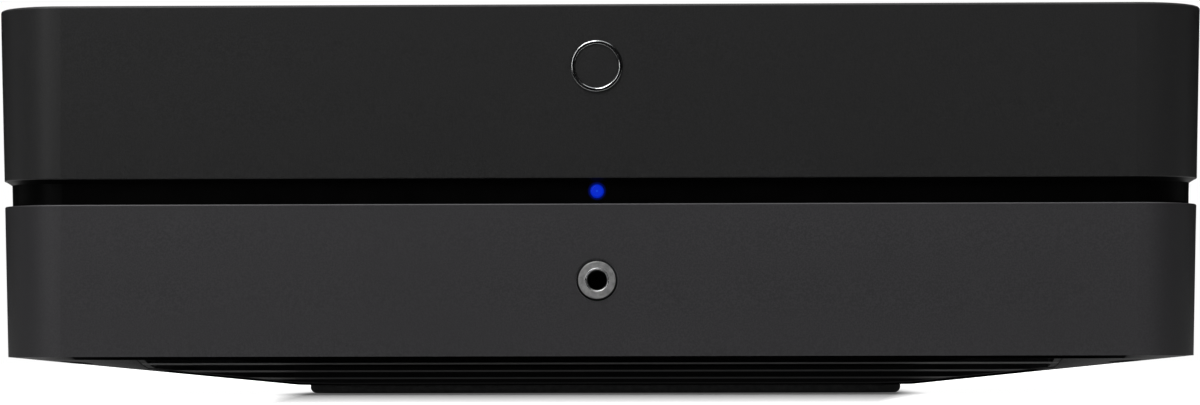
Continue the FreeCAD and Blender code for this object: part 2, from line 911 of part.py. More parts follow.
# The lower row from left to right: network, storage and television sockets, round jacks, subwoofer
row_widths = [lan_width, usb_width, video_width] + [minijack_width] * rear_jack_count
row_widths.append(2 * subwoofer_collar_radius)
row_length = main_width - row_left_margin - row_right_margin
row_gap = (row_length - sum(row_widths)) / (len(row_widths) - 1)
row_xs = [main_left + row_left_margin + sum(row_widths[:place]) + place * row_gap + width / 2
          for place, width in enumerate(row_widths)]
lan_x, usb_x, video_x = row_xs[:3]
rear_jack_xs = row_xs[3:-1]
subwoofer_x = row_xs[-1]


def make_chassis_plate():
    plate = box(-chassis_half_width, chassis_half_width, chassis_front, chassis_rear,
                chassis_height, chassis_top)
    tabs = []
    for side in (-1, 1):
        tabs.append(box(side * panel_screw_x - chassis_tab_width / 2,
                        side * panel_screw_x + chassis_tab_width / 2,
                        chassis_rear, panel_inner, chassis_height, chassis_top + chassis_tab_height))
    plate = joined([plate] + tabs)
    holes = [rod_z(x, y, 0, reach, board_screw_radius + screw_clearance)
             for x, y in chassis_boss_places + main_hole_places + power_hole_places]
    for side in (-1, 1):
        holes.append(rod_y(side * panel_screw_x, 0, reach, panel_screw_low_z,
                           panel_screw_radius + screw_clearance))
    slot_pitch = sink_width / chassis_slot_count
    for index in range(chassis_slot_count):
        x = sink_left + (index + 0.5) * slot_pitch
        y = chassis_front + chassis_slot_width + chassis_slot_length / 2
        holes.append(slab(x, y, chassis_slot_width / 2, chassis_slot_length / 2,
                          chassis_slot_width / 2 - corner_sliver,
                          0, reach))
    return plate.cut(holes)


def make_board_standoffs():
    posts = []
    for x, y in main_hole_places + power_hole_places:
        posts.append(rod_z(x, y, chassis_top, board_bottom, standoff_radius))
    for x, y in main_hole_places:
        posts.append(rod_z(x, y, board_top, amp_bottom, standoff_radius))
    hole_radius = board_screw_radius + screw_clearance
    return Part.makeCompound([post.cut(rod_z(post.CenterOfMass.x, post.CenterOfMass.y, 0, reach,
                                             hole_radius))
                              for post in posts])


def make_board_screws():
    places = [(x, y, amp_top) for x, y in main_hole_places]
    places += [(x, y, board_top) for x, y in power_hole_places]
    places += [(x, y, chassis_top) for x, y in chassis_boss_places]
    screws = []
    for x, y, z in places:
        head = rod_z(x, y, z, z + board_screw_head_height, board_screw_head_radius)
        shank = rod_z(x, y, z - board_screw_length, z + seat_gap, board_screw_radius)
        screws.append(head.fuse(shank).removeSplitter())
    return Part.makeCompound(screws)


def drilled(board, places):
    return board.cut([rod_z(x, y, 0, reach, board_screw_radius + screw_clearance) for x, y in places])


def make_main_board():
    board = box(main_left, main_right, main_front, main_rear, board_bottom, board_top)
    return drilled(board, main_hole_places)


shield_left = main_left + shield_from_left
shield_front = main_front + shield_from_front


def make_processor_shield():
    can = box(shield_left, shield_left + shield_width, shield_front, shield_front + shield_depth,
              board_top, board_top + shield_height)
    hollow = box(shield_left + shield_wall, shield_left + shield_width - shield_wall,
                 shield_front + shield_wall, shield_front + shield_depth - shield_wall,
                 board_top - overrun, board_top + shield_height - shield_wall)
    return can.cut(hollow)


wireless_right = main_right - wireless_from_right
wireless_front = main_front + wireless_from_front


def make_wireless_module():
    return box(wireless_right - wireless_width, wireless_right, wireless_front,
               wireless_front + wireless_depth,
               board_top, board_top + wireless_height)


antenna_foot = ceiling - antenna_drop - antenna_height
antenna_face = half_width(antenna_foot, case_wall)


def make_antennas():
    boards = []
    for y in antenna_y:
        boards.append(box(antenna_face - antenna_thickness, antenna_face, y - antenna_width / 2,
                          y + antenna_width / 2, antenna_foot, antenna_foot + antenna_height))
    return Part.makeCompound(boards)


def make_antenna_leads():
    x = wireless_right - antenna_lead_inset
    start = board_top + wireless_height
    near_z = start + antenna_lead_rise
    far_z = start + antenna_lead_low_rise
    aisle = (main_right + antenna_face) / 2
    far_aisle = aisle - antenna_lead_inset
    end_z = antenna_foot + antenna_height / 2
    end_x = antenna_face - antenna_thickness
    near_y = wireless_front + wireless_depth - antenna_lead_inset
    far_y = wireless_front + antenna_lead_inset
    far_end = antenna_y[1]
    near = [Vector(x, near_y, start), Vector(x, near_y, near_z), Vector(aisle, near_y, near_z),
            Vector(aisle, near_y, end_z), Vector(end_x, near_y, end_z)]
    far = [Vector(x, far_y, start), Vector(x, far_y, far_z), Vector(far_aisle, far_y, far_z),
           Vector(far_aisle, far_end, far_z), Vector(far_aisle, far_end, end_z),
           Vector(end_x, far_end, end_z)]
    return Part.makeCompound([lead(near, antenna_lead_radius), lead(far, antenna_lead_radius)])


def make_amplifier_board():
    board = box(main_left, main_right, amp_front, amp_rear, amp_bottom, amp_top)
    return drilled(board, main_hole_places)


def make_output_inductors():
    blocks = []
    pitch = main_width / inductor_count
    for index in range(inductor_count):
        x = main_left + (index + 0.5) * pitch
        y = amp_front + amp_depth / 2
        blocks.append(slab(x, y, inductor_size / 2, inductor_size / 2, inductor_corner, amp_top,
                           amp_top + inductor_height))
    return Part.makeCompound(blocks)


def make_amplifier_chips():
    chips = []
    pitch = sink_width / chip_count
    for index in range(chip_count):
        x = sink_left + (index + 0.5) * pitch
        chips.append(box(x - chip_width / 2, x + chip_width / 2, amp_front, amp_front + chip_depth,
                         amp_bottom - chip_thickness, amp_bottom))
    return Part.makeCompound(chips)


def make_heat_sink():
    top = amp_bottom - chip_thickness
    base = box(sink_left, sink_right, sink_front, sink_rear, chassis_top, chassis_top + sink_base)
    wall = box(sink_left, sink_right, sink_rear - sink_rear_wall, sink_rear, chassis_top, top)
    fins = []
    pitch = (sink_width - sink_fin_thickness) / (sink_fin_count - 1)
    for index in range(sink_fin_count):
        x = sink_left + index * pitch
        fins.append(box(x, x + sink_fin_thickness, sink_front, sink_rear - sink_rear_wall + seat_gap,
                        chassis_top + sink_base - seat_gap, chassis_top + sink_base + sink_fin_height))
    return joined([base, wall] + fins)


def make_power_board():
    board = box(power_left, power_right, power_front, power_rear, board_bottom, board_top)
    return drilled(board, power_hole_places)


power_middle = (power_left + power_right) / 2
winding_outer_x = core_width / 2 - core_leg / 2 - winding_gap
winding_inner_x = core_leg / 2 + winding_gap
winding_half_y = core_depth / 2 + winding_outer_x - winding_inner_x
power_parts = 2 * (power_end_margin + output_radius + winding_half_y + bulk_radius) + fuse_length
power_gap = (power_rear - power_front - power_parts) / 3
output_y = power_front + power_end_margin + output_radius
core_y = output_y + output_radius + power_gap + winding_half_y
bulk_y = core_y + winding_half_y + power_gap + bulk_radius
choke_y = power_rear - power_end_margin - fuse_length / 2


def make_transformer_core():
    core = box(power_middle - core_width / 2, power_middle + core_width / 2, core_y - core_depth / 2,
               core_y + core_depth / 2, board_top, board_top + core_height)
    windows = []
    inner = core_leg
    for side in (-1, 1):
        x0 = side * inner / 2
        x1 = side * (core_width / 2 - core_leg / 2)
        windows.append(box(power_middle + min(x0, x1), power_middle + max(x0, x1), core_y - core_depth,
                           core_y + core_depth, board_top + core_leg / 2,
                           board_top + core_height - core_leg / 2))
    return core.cut(windows)


def make_transformer_winding():
    low = board_top + core_leg / 2 + seat_gap
    high = board_top + core_height - core_leg / 2 - seat_gap
    bobbin = slab(power_middle, core_y, winding_outer_x, winding_half_y, winding_corner, low, high)
    hole = box(power_middle - winding_inner_x, power_middle + winding_inner_x,
               core_y - core_depth / 2 - winding_gap,
               core_y + core_depth / 2 + winding_gap, 0, reach)
    return bobbin.cut(hole)


def make_bulk_capacitors():
    cans = []
    for side in (-1, 1):
        cans.append(rod_z(power_middle + side * bulk_spacing / 2, bulk_y, board_top,
                          board_top + bulk_height,
                          bulk_radius))
    return Part.makeCompound(cans)


def make_output_capacitors():
    cans = []
    for index in range(output_count):
        x = power_middle + (index - (output_count - 1) / 2) * output_spacing
        cans.append(rod_z(x, output_y, board_top, board_top + output_height, output_radius))
    return Part.makeCompound(cans)


def make_mains_choke():
    ring = Part.makeTorus(choke_radius, choke_wire_radius,
                          Vector(power_left + choke_from_left, choke_y, 0), Vector(0, 1, 0))
    ring.translate(Vector(0, 0, board_top + choke_radius + choke_wire_radius - choke_sink))
    return ring.cut(box(-reach, reach, -reach, reach, 0, board_top))


def make_mains_fuse():
    x = power_right - fuse_side
    z = board_top + fuse_radius + fuse_lift
    tube = rod_y(x, choke_y - fuse_length / 2, choke_y + fuse_length / 2, z, fuse_radius)
    clips = []
    for side in (-1, 1):
        y = choke_y + side * (fuse_length - fuse_clip) / 2
        clips.append(box(x - fuse_radius - fuse_clip_wall, x + fuse_radius + fuse_clip_wall,
                         y - fuse_clip / 2, y + fuse_clip / 2, board_top, z))
    return joined([tube] + clips)


def make_dc_harness():
    wires = []
    start_x = power_right - harness_inset
    end_x = main_left + harness_end_inset
    top = amp_top + harness_rise
    for index in range(harness_wire_count):
        y = amp_front + harness_from_front + index * harness_wire_pitch
        wires.append(lead([Vector(start_x, y, board_top), Vector(start_x, y, top),
                           Vector(end_x, y, top),
                           Vector(end_x, y, amp_top)], harness_wire_radius))
    return Part.makeCompound(wires)


# Mains inlet
inlet_rim = panel_outer + inlet_flange_thickness
inlet_back = panel_outer - inlet_body_depth


def make_mains_inlet_housing():
    flange = plug_y(inlet_x, inlet_z, inlet_flange_width / 2, inlet_flange_height / 2,
                    inlet_flange_corner,
                    panel_outer, inlet_rim)
    body = plug_y(inlet_x, inlet_z, inlet_body_width / 2, inlet_body_height / 2,
                  inlet_flange_corner - cutout_gap,
                  inlet_back, panel_outer + seat_gap)
    mouth = plug_y(inlet_x, inlet_z, inlet_mouth_width / 2, inlet_mouth_height / 2,
                   inlet_mouth_height / 2 - corner_sliver, inlet_rim - inlet_mouth_depth, reach)
    pins = [rod_y(inlet_x + side * inlet_pin_pitch / 2, 0, reach, inlet_z, inlet_pin_radius + seat_gap)
            for side in (-1, 1)]
    return joined([flange, body]).cut([mouth] + pins)


def make_mains_inlet_pins():
    pins = []
    for side in (-1, 1):
        x = inlet_x + side * inlet_pin_pitch / 2
        pin = rod_y(x, inlet_back - inlet_pin_tail, inlet_rim - inlet_pin_setback, inlet_z,
                    inlet_pin_radius)
        tip = [edge for edge in pin.Edges
               if abs(edge.CenterOfMass.y - inlet_rim + inlet_pin_setback) < 1e-6]
        pins.append(pin.makeFillet(inlet_pin_round, tip))
    return Part.makeCompound(pins)


def make_inlet_wires():
    wires = []
    for side in (-1, 1):
        x = inlet_x + side * inlet_pin_pitch / 2
        start = inlet_back - inlet_pin_tail
        turn = start - inlet_wire_run
        wires.append(lead([Vector(x, start, inlet_z), Vector(x, turn, inlet_z),
                           Vector(x, turn, board_top)],
                          inlet_wire_radius))
    return Part.makeCompound(wires)


# Network socket
lan_front = panel_outer + lan_proud
lan_back = lan_front - lan_depth


def make_lan_socket_shell():
    can = box(lan_x - lan_width / 2, lan_x + lan_width / 2, lan_back, lan_front, board_top,
              board_top + lan_height)
    hollow = box(lan_x - lan_width / 2 + lan_shield, lan_x + lan_width / 2 - lan_shield,
                 lan_back + lan_shield,
                 reach, board_top + lan_shield, board_top + lan_height - lan_shield)
    return can.cut(hollow)


def make_lan_socket_insert():
    gap = lan_shield + seat_gap
    block = box(lan_x - lan_width / 2 + gap, lan_x + lan_width / 2 - gap, lan_back + gap,
                lan_front - lan_insert_setback, board_top + gap, board_top + lan_height - gap)
    floor = board_top + lan_mouth_rise
    mouth = box(lan_x - lan_mouth_width / 2, lan_x + lan_mouth_width / 2,
                lan_front - lan_mouth_depth, reach,
                floor, floor + lan_mouth_height)
    latch = box(lan_x - lan_latch_width / 2, lan_x + lan_latch_width / 2,
                lan_front - lan_mouth_depth, reach,
                floor - lan_latch_height, floor)
    return block.cut([mouth, latch])


# Flat digital sockets: a drawn metal shell round a plastic tongue
socket_front = panel_outer + socket_proud


def socket_leg(x, back, top):
    """A solder leg at a socket's side, down to the board."""
    front = back + socket_foot_from_back + socket_foot
    return box(x - socket_shell / 2, x + socket_shell / 2, front - socket_foot, front, board_top, top)


def usb_section(grow, y0, y1):
    return plug_y(usb_x, board_top + usb_rise + usb_height / 2, usb_width / 2 + grow,
                  usb_height / 2 + grow,
                  socket_corner + grow, y0, y1)


def make_usb_socket_shell():
    back = socket_front - usb_depth
    shell = usb_section(0, back,
                        socket_front).cut(usb_section(-socket_shell, back + socket_shell, reach))
    feet = []
    for side in (-1, 1):
        x = usb_x + side * (usb_width / 2 - socket_shell / 2)
        feet.append(socket_leg(x, back, board_top + usb_rise + socket_corner + socket_foot_bite))
    return joined([shell] + feet)


def video_section(grow, y0, y1):
    low = board_top + video_rise
    half = video_width / 2 + grow
    bottom = low - grow
    top = low + video_height + grow
    points = [(-half, top), (-half, low + video_slope), (-half + video_slope, bottom),
              (half - video_slope, bottom),
              (half, low + video_slope), (half, top)]
    corners = [Vector(video_x + x, y0, z) for x, z in points]
    return Part.Face(Part.makePolygon(corners + corners[:1])).extrude(Vector(0, y1 - y0, 0))


def make_video_socket_shell():
    back = socket_front - video_depth
    shell = video_section(0, back,
                          socket_front).cut(video_section(-socket_shell, back + socket_shell, reach))
    feet = []
    for side in (-1, 1):
        x = video_x + side * (video_width / 2 - socket_shell / 2)
        feet.append(socket_leg(x, back, board_top + video_rise + video_slope + socket_foot_bite))
    return joined([shell] + feet)


def make_socket_tongues():
    tongues = []
    usb_back = socket_front - usb_depth + socket_shell + seat_gap
    usb_top = board_top + usb_rise + usb_height - socket_shell
    usb_block = usb_section(-socket_shell - seat_gap, usb_back, usb_back + socket_back)
    usb_blade = box(usb_x - usb_tongue_width / 2, usb_x + usb_tongue_width / 2, usb_back + seat_gap,
                    socket_front - tongue_setback, usb_top - tongue_drop - usb_tongue_height,
                    usb_top - tongue_drop)
    tongues.append(joined([usb_block, usb_blade]))
    video_back = socket_front - video_depth + socket_shell + seat_gap
    video_middle = board_top + video_rise + video_height / 2 + video_tongue_rise
    video_block = video_section(-socket_shell - seat_gap, video_back, video_back + socket_back)
    video_blade = box(video_x - video_tongue_width / 2, video_x + video_tongue_width / 2,
                      video_back + seat_gap,
                      socket_front - tongue_setback, video_middle - video_tongue_height / 2,
                      video_middle + video_tongue_height / 2)
    tongues.append(joined([video_block, video_blade]))
    return Part.makeCompound(tongues)


# Round jacks in the rear
jack_z = board_top + minijack_axis_height
jack_nose = panel_outer + rear_jack_nose_proud


def make_minijack_sockets():
    sockets = []
    for x in rear_jack_xs:
        body = jack_body(x, panel_inner, -rear_jack_depth, jack_z, panel_inner)
        nose = rod_y(x, panel_inner - seat_gap, jack_nose, jack_z, rear_jack_nose_radius)
        bore = rod_y(x, jack_nose - minijack_bore_length, jack_nose + overrun, jack_z,
                     minijack_bore_radius)
        sockets.append(body.fuse(nose).cut(bore).removeSplitter())
    return Part.makeCompound(sockets)


# Subwoofer socket: a barrel round an insulator with the centre contact's hole
subwoofer_z = board_top + subwoofer_axis_height
subwoofer_end = panel_outer + subwoofer_barrel_length


def make_subwoofer_socket():
    body = box(subwoofer_x - subwoofer_body_width / 2, subwoofer_x + subwoofer_body_width / 2,
               panel_inner - subwoofer_body_depth, panel_inner, board_top,
               board_top + subwoofer_body_height)
    barrel = rod_y(subwoofer_x, panel_inner - seat_gap, subwoofer_end, subwoofer_z,
                   subwoofer_barrel_radius)
    collar = rod_y(subwoofer_x, panel_outer, panel_outer + subwoofer_collar_thickness, subwoofer_z,
                   subwoofer_collar_radius)
    hollow = rod_y(subwoofer_x, panel_inner - subwoofer_body_depth / 2, reach, subwoofer_z,
                   subwoofer_barrel_radius - subwoofer_barrel_wall)
    return joined([body, barrel, collar]).cut(hollow)


def make_subwoofer_insulator():
    radius = subwoofer_barrel_radius - subwoofer_barrel_wall - seat_gap
    back = panel_inner - subwoofer_body_depth / 2
    front = subwoofer_end - subwoofer_insulator_setback
    plug = rod_y(subwoofer_x, back, front, subwoofer_z, radius)
    return plug.cut(rod_y(subwoofer_x, panel_inner, reach, subwoofer_z, subwoofer_bore_radius))


# Speaker binding posts, from the panel outwards
collar_face = panel_outer + post_collar_thickness
washer_face = collar_face + washer_thickness
post_end = panel_outer + post_length
wire_hole_y = collar_face + wire_hole_offset
knob_end = post_end + knob_end_wall + seat_gap
nut_start = panel_inner - post_bush_tail - post_nut_thickness
stud_start = nut_start - post_inner_length
tail_start = stud_start - post_tail_length


def make_post_studs():
    studs = []
    for x in post_xs:
        stud = rod_y(x, stud_start, post_end, post_height, post_radius)
        nut = rod_y(x, nut_start, nut_start + post_nut_thickness, post_height, post_nut_radius)
        tail = rod_y(x, tail_start, stud_start + seat_gap, post_height, post_tail_radius)
        banana = rod_y(x, post_end - post_banana_depth, reach, post_height, post_banana_radius)
        wire = rod_z(x, wire_hole_y, 0, reach, post_wire_radius)
        studs.append(joined([stud, nut, tail]).cut([banana, wire]))
    return Part.makeCompound(studs)


def make_post_collars():
    collars = []
    for x in post_xs:
        flange = rod_y(x, panel_outer, collar_face, post_height, post_collar_radius)
        bush = rod_y(x, panel_inner - post_bush_tail, panel_outer + seat_gap, post_height,
                     post_bush_radius)
        hole = rod_y(x, 0, reach, post_height, post_radius + seat_gap)
        collars.append(joined([flange, bush]).cut(hole))
    return Part.makeCompound(collars)


def make_post_washer(x):
    disc = rod_y(x, collar_face, washer_face, post_height, washer_radius)
    neck = rod_y(x, collar_face, washer_face + washer_neck_length, post_height, washer_neck_radius)
    return disc.fuse(neck).removeSplitter().cut(
        rod_y(x, 0, reach, post_height, post_radius + running_clearance))


def make_post_knob(x):
    knob = rod_y(x, washer_face, knob_end, post_height, knob_radius)
    rims = [edge for edge in knob.Edges if abs(edge.CenterOfMass.y - knob_end) < 1e-6]
    knob = knob.makeChamfer(knob_end_bevel, rims)
    cuts = [rod_y(x, 0, post_end + seat_gap, post_height, post_radius + running_clearance),
            rod_y(x, 0, washer_face + knob_pocket_length, post_height,
                  washer_neck_radius + running_clearance),
            rod_y(x, 0, reach, post_height, knob_mouth_radius)]
    for index in range(knob_flute_count):
        angle = 2 * math.pi * index / knob_flute_count
        cuts.append(rod_y(x + knob_radius * math.cos(angle), washer_face - overrun, reach,
                          post_height + knob_radius * math.sin(angle), knob_flute_radius))
    return knob.cut(cuts)


def make_speaker_straps():
    straps = []
    for x in post_xs:
        plate = box(x - strap_width / 2, x + strap_width / 2, tail_start, tail_start + strap_thickness,
                    amp_top, amp_top + strap_rise)
        straps.append(plate.cut(rod_y(x, 0, reach, post_height, post_tail_radius + seat_gap)))
    return Part.makeCompound(straps)


nodes = {
    "upper_shell": make_upper_shell(),
    "lower_shell": make_lower_shell(),
    "waist_band": make_waist_band(),
    "front_vent_grille": make_vent_grille(),
    "rear_vent_grille": turned_round(make_vent_grille()),
    "foot_pad": make_foot_pad(),
    "rear_panel": make_rear_panel(),
    "touch_window": touch_slab(0.0, -touch_sink),
    "front_badge": make_front_badge(),
    "status_light_lens": make_status_light_lens(),
    "case_screws": make_case_screws(),
    "panel_screws": make_panel_screws(),
    "headphone_jack_ring": make_headphone_jack_ring(),
    "headphone_jack_body": make_headphone_jack_body(),
    "headphone_board": make_headphone_board(),
    "light_board": make_light_board(),
    "touch_board": make_touch_board(),
    "front_ribbons": make_front_ribbons(),
    "chassis_plate": make_chassis_plate(),
    "board_standoffs": make_board_standoffs(),
    "board_screws": make_board_screws(),
    "main_board": make_main_board(),
    "processor_shield": make_processor_shield(),
    "wireless_module": make_wireless_module(),
    "antennas": make_antennas(),
    "antenna_leads": make_antenna_leads(),
    "amplifier_board": make_amplifier_board(),
    "output_inductors": make_output_inductors(),
    "amplifier_chips": make_amplifier_chips(),
    "heat_sink": make_heat_sink(),
    "power_board": make_power_board(),
    "transformer_core": make_transformer_core(),
    "transformer_winding": make_transformer_winding(),
    "bulk_capacitors": make_bulk_capacitors(),
    "output_capacitors": make_output_capacitors(),
    "mains_choke": make_mains_choke(),
    "mains_fuse": make_mains_fuse(),
    "dc_harness": make_dc_harness(),
    "mains_inlet_housing": make_mains_inlet_housing(),
    "mains_inlet_pins": make_mains_inlet_pins(),
    "inlet_wires": make_inlet_wires(),
    "lan_socket_shell": make_lan_socket_shell(),
    "lan_socket_insert": make_lan_socket_insert(),
    "usb_socket_shell": make_usb_socket_shell(),
    "video_socket_shell": make_video_socket_shell(),
    "socket_tongues": make_socket_tongues(),
    "minijack_sockets": make_minijack_sockets(),
    "subwoofer_socket": make_subwoofer_socket(),
    "subwoofer_insulator": make_subwoofer_insulator(),
    "post_studs": make_post_studs(),
    "post_collars": make_post_collars(),
    "speaker_straps": make_speaker_straps(),
}
for number, x in enumerate(post_xs, 1):
    nodes[f"post_washer_{number}"] = make_post_washer(x)
    nodes[f"post_knob_{number}"] = make_post_knob(x)

for name, shape in nodes.items():
    shape.exportStep(f"parts/{name}.step")
    print(name, "valid" if shape.isValid() else "INVALID", len(shape.Solids), round(shape.Volume, 1))
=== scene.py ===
# The streaming amplifier, dressed piece by piece in the order in which it is put together.
import math

import bmesh
import bpy
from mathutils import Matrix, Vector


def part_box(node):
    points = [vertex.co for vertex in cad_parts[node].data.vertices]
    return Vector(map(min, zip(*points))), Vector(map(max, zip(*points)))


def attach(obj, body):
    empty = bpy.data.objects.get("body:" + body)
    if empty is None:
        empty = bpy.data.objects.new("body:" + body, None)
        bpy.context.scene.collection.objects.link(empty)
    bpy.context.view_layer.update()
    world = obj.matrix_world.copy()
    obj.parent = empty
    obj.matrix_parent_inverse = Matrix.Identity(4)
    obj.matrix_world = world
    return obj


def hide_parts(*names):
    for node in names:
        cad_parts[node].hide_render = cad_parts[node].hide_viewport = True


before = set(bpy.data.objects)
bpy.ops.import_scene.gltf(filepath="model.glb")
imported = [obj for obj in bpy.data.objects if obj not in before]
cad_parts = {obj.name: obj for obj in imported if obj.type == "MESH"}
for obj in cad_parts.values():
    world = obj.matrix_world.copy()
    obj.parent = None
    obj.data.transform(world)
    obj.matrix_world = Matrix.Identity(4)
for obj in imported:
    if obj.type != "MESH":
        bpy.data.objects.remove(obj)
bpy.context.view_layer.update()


# Camera: a long lens low in front of the case, just above the surface it stands on,
# turned a little to its left and tipped up a little.
focal_length = 116.79
camera_place = (0.0192, -0.7948, 0.006)
tipped_up, rolled, turned_left = 92.342, 0.094, 1.526
lens = bpy.data.cameras.new("long_lens")
lens.lens = focal_length
lens.sensor_width = 36.0
lens.clip_start = 0.02
lens.clip_end = 30.0
camera = bpy.data.objects.new("low_front_camera", lens)
camera.location = camera_place
camera.rotation_euler = (math.radians(tipped_up), math.radians(rolled), math.radians(turned_left))
bpy.context.scene.collection.objects.link(camera)
bpy.context.scene.camera = camera


# Lower shell: the moulded tub that carries everything, in charcoal ABS with a fine
# spark-eroded grain. Its side walls are painted darker as shade, its rounded top edge carries a
# painted highlight, and its sloped underside is painted near-black as shade, thinner towards the
# four corners, with a painted shadow line all along the edge.
def wired(name):
    material = bpy.data.materials.new(name)
    material.use_nodes = True
    tree = material.node_tree
    return material, tree.nodes, tree.links, tree.nodes["Principled BSDF"]


def speckle(nodes, links, size, detail, stretch=(1.0, 1.0, 1.0)):
    place = nodes.new("ShaderNodeTexCoord")
    turn = nodes.new("ShaderNodeMapping")
    turn.inputs["Scale"].default_value = stretch
    noise = nodes.new("ShaderNodeTexNoise")
    noise.inputs["Scale"].default_value = 1.0 / size
    noise.inputs["Detail"].default_value = detail
    links.new(place.outputs["Object"], turn.inputs["Vector"])
    links.new(turn.outputs["Vector"], noise.inputs["Vector"])
    return noise.outputs["Fac"]


def spread(nodes, links, value, low, high, start=0.3, end=0.7):
    ramp = nodes.new("ShaderNodeMapRange")
    ramp.inputs["From Min"].default_value = start
    ramp.inputs["From Max"].default_value = end
    ramp.inputs["To Min"].default_value = low
    ramp.inputs["To Max"].default_value = high
    links.new(value, ramp.inputs["Value"])
    return ramp.outputs["Result"]


def blended(nodes, links, factor, first, second):
    mix = nodes.new("ShaderNodeMix")
    mix.data_type = "RGBA"
    links.new(factor, mix.inputs["Factor"])
    for socket, colour in ((mix.inputs["A"], first), (mix.inputs["B"], second)):
        if isinstance(colour, tuple):
            socket.default_value = (*colour, 1.0)
        else:
            links.new(colour, socket)
    return mix.outputs["Result"]


def worked(nodes, links, operation, first, second):
    node = nodes.new("ShaderNodeMath")
    node.operation = operation
    for socket, value in zip(node.inputs, (first, second)):
        if isinstance(value, float):
            socket.default_value = value
        else:
            links.new(value, socket)
    return node.outputs["Value"]


def shaded(colour, amount):
    return tuple(min(channel * amount, 1.0) for channel in colour)


def level_of_normal(nodes, links, axis):
    facing = nodes.new("ShaderNodeNewGeometry")
    parts = nodes.new("ShaderNodeSeparateXYZ")
    links.new(facing.outputs["Normal"], parts.inputs["Vector"])
    return parts.outputs[axis]


def level_of_place(nodes, links, axis):
    place = nodes.new("ShaderNodeTexCoord")
    parts = nodes.new("ShaderNodeSeparateXYZ")
    links.new(place.outputs["Object"], parts.inputs["Vector"])
    return parts.outputs[axis]


def embossed(nodes, links, shader, height, strength, relief):
    bump = nodes.new("ShaderNodeBump")
    bump.inputs["Strength"].default_value = strength
    bump.inputs["Distance"].default_value = relief
    links.new(height, bump.inputs["Height"])
    links.new(bump.outputs["Normal"], shader.inputs["Normal"])


def moulded(name, colour, roughness, grain, relief, specular=0.4, patch=0.045, contrast=0.05,
            edge_highlight_gain=1.0):
    material, nodes, links, shader = wired(name)
    fine = speckle(nodes, links, grain, 3.0)
    slow = speckle(nodes, links, patch, 2.0)
    tone = blended(nodes, links, spread(nodes, links, slow, 0.0, 1.0), shaded(colour, 1.0 - contrast),
                   shaded(colour, 1.0 + contrast))
    pores = blended(nodes, links, spread(nodes, links, fine, 0.0, 1.0, 0.42, 0.6),
                    shaded(colour, 0.82), tone)
    # A gain above 1 paints a highlight by lightening the rounded edges between walls and tops.
    if edge_highlight_gain > 1.0:
        lean = level_of_normal(nodes, links, "Z")
        edge = worked(nodes, links, "MULTIPLY", spread(nodes, links, lean, 0.0, 1.0, 0.12, 0.35),
                      spread(nodes, links, lean, 1.0, 0.0, 0.85, 0.97))
        pores = blended(nodes, links, edge, pores, shaded(colour, edge_highlight_gain))
    links.new(pores, shader.inputs["Base Color"])
    links.new(spread(nodes, links, fine, roughness - 0.05, roughness + 0.07), shader.inputs["Roughness"])
    shader.inputs["Specular IOR Level"].default_value = specular
    embossed(nodes, links, shader, fine, 0.5, relief)
    return material


def clad(material, *names):
    for name in names:
        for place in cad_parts[name].material_slots:
            place.link = "OBJECT"
            place.material = material


case_grain, case_relief = 0.00028, 0.00002
lower_colour = (0.0405, 0.0395, 0.0425)
side_shade_dark, side_shade_light = (0.0150, 0.0147, 0.0158), (0.0185, 0.0181, 0.0194)
painted_shade_black = (0.0030, 0.0030, 0.0031)
shade_full_to, shade_thin_from = 0.062, 0.100
shadow_line_foot, shadow_line_top = 0.00630, 0.00650
shadow_line_full_to, shadow_line_thin_from = 0.088, 0.102
lower_charcoal = moulded("lower_case_charcoal", lower_colour, 0.42, case_grain, case_relief, 0.3,
                         edge_highlight_gain=2.3)
nodes, links = lower_charcoal.node_tree.nodes, lower_charcoal.node_tree.links
shader = nodes["Principled BSDF"]
front_tone = shader.inputs["Base Color"].links[0].from_socket
# Painted shade: the side walls take a darker tone than the front.
painted_side_shade = blended(nodes, links, speckle(nodes, links, 0.0004, 3.0), side_shade_dark, side_shade_light)
to_side = worked(nodes, links, "ABSOLUTE", level_of_normal(nodes, links, "X"), 0.0)
side_shaded_charcoal = blended(nodes, links, spread(nodes, links, to_side, 0.0, 1.0, 0.15, 0.85), front_tone, painted_side_shade)
# Painted shade: the underside goes near-black, thinner at the corners, with a painted shadow line at its
# edge.
underneath = spread(nodes, links, level_of_normal(nodes, links, "Z"), 1.0, 0.0, -0.35, -0.10)
off_middle = worked(nodes, links, "ABSOLUTE", level_of_place(nodes, links, "X"), 0.0)
painted_underside_shade = spread(nodes, links, off_middle, 1.0, 0.50, shade_full_to, shade_thin_from)
near_edge = spread(nodes, links, level_of_place(nodes, links, "Z"), 0.0, 1.0, shadow_line_foot, shadow_line_top)
fading = spread(nodes, links, off_middle, 1.0, 0.50, shadow_line_full_to, shadow_line_thin_from)
painted_shadow_line = worked(nodes, links, "MULTIPLY", near_edge, fading)
underside_and_edge_shade = worked(nodes, links, "MULTIPLY", underneath, worked(nodes, links, "MAXIMUM", painted_underside_shade, painted_shadow_line))
links.new(blended(nodes, links, underside_and_edge_shade, side_shaded_charcoal, painted_shade_black), shader.inputs["Base Color"])
links.new(spread(nodes, links, underside_and_edge_shade, 0.35, 0.0, 0.0, 0.75), shader.inputs["Specular IOR Level"])
clad(lower_charcoal, "lower_shell")


# Vent grilles: two black moulded louvres, front and rear, that fill the slope of the
# underside. Three thin ribs cross each one, with a painted highlight along the middle of their faces.
top_rib = 0.0057
rib_spacing = 0.00137
highlight_half_width = 0.00008
vent_black, nodes, links, shader = wired("vent_black")
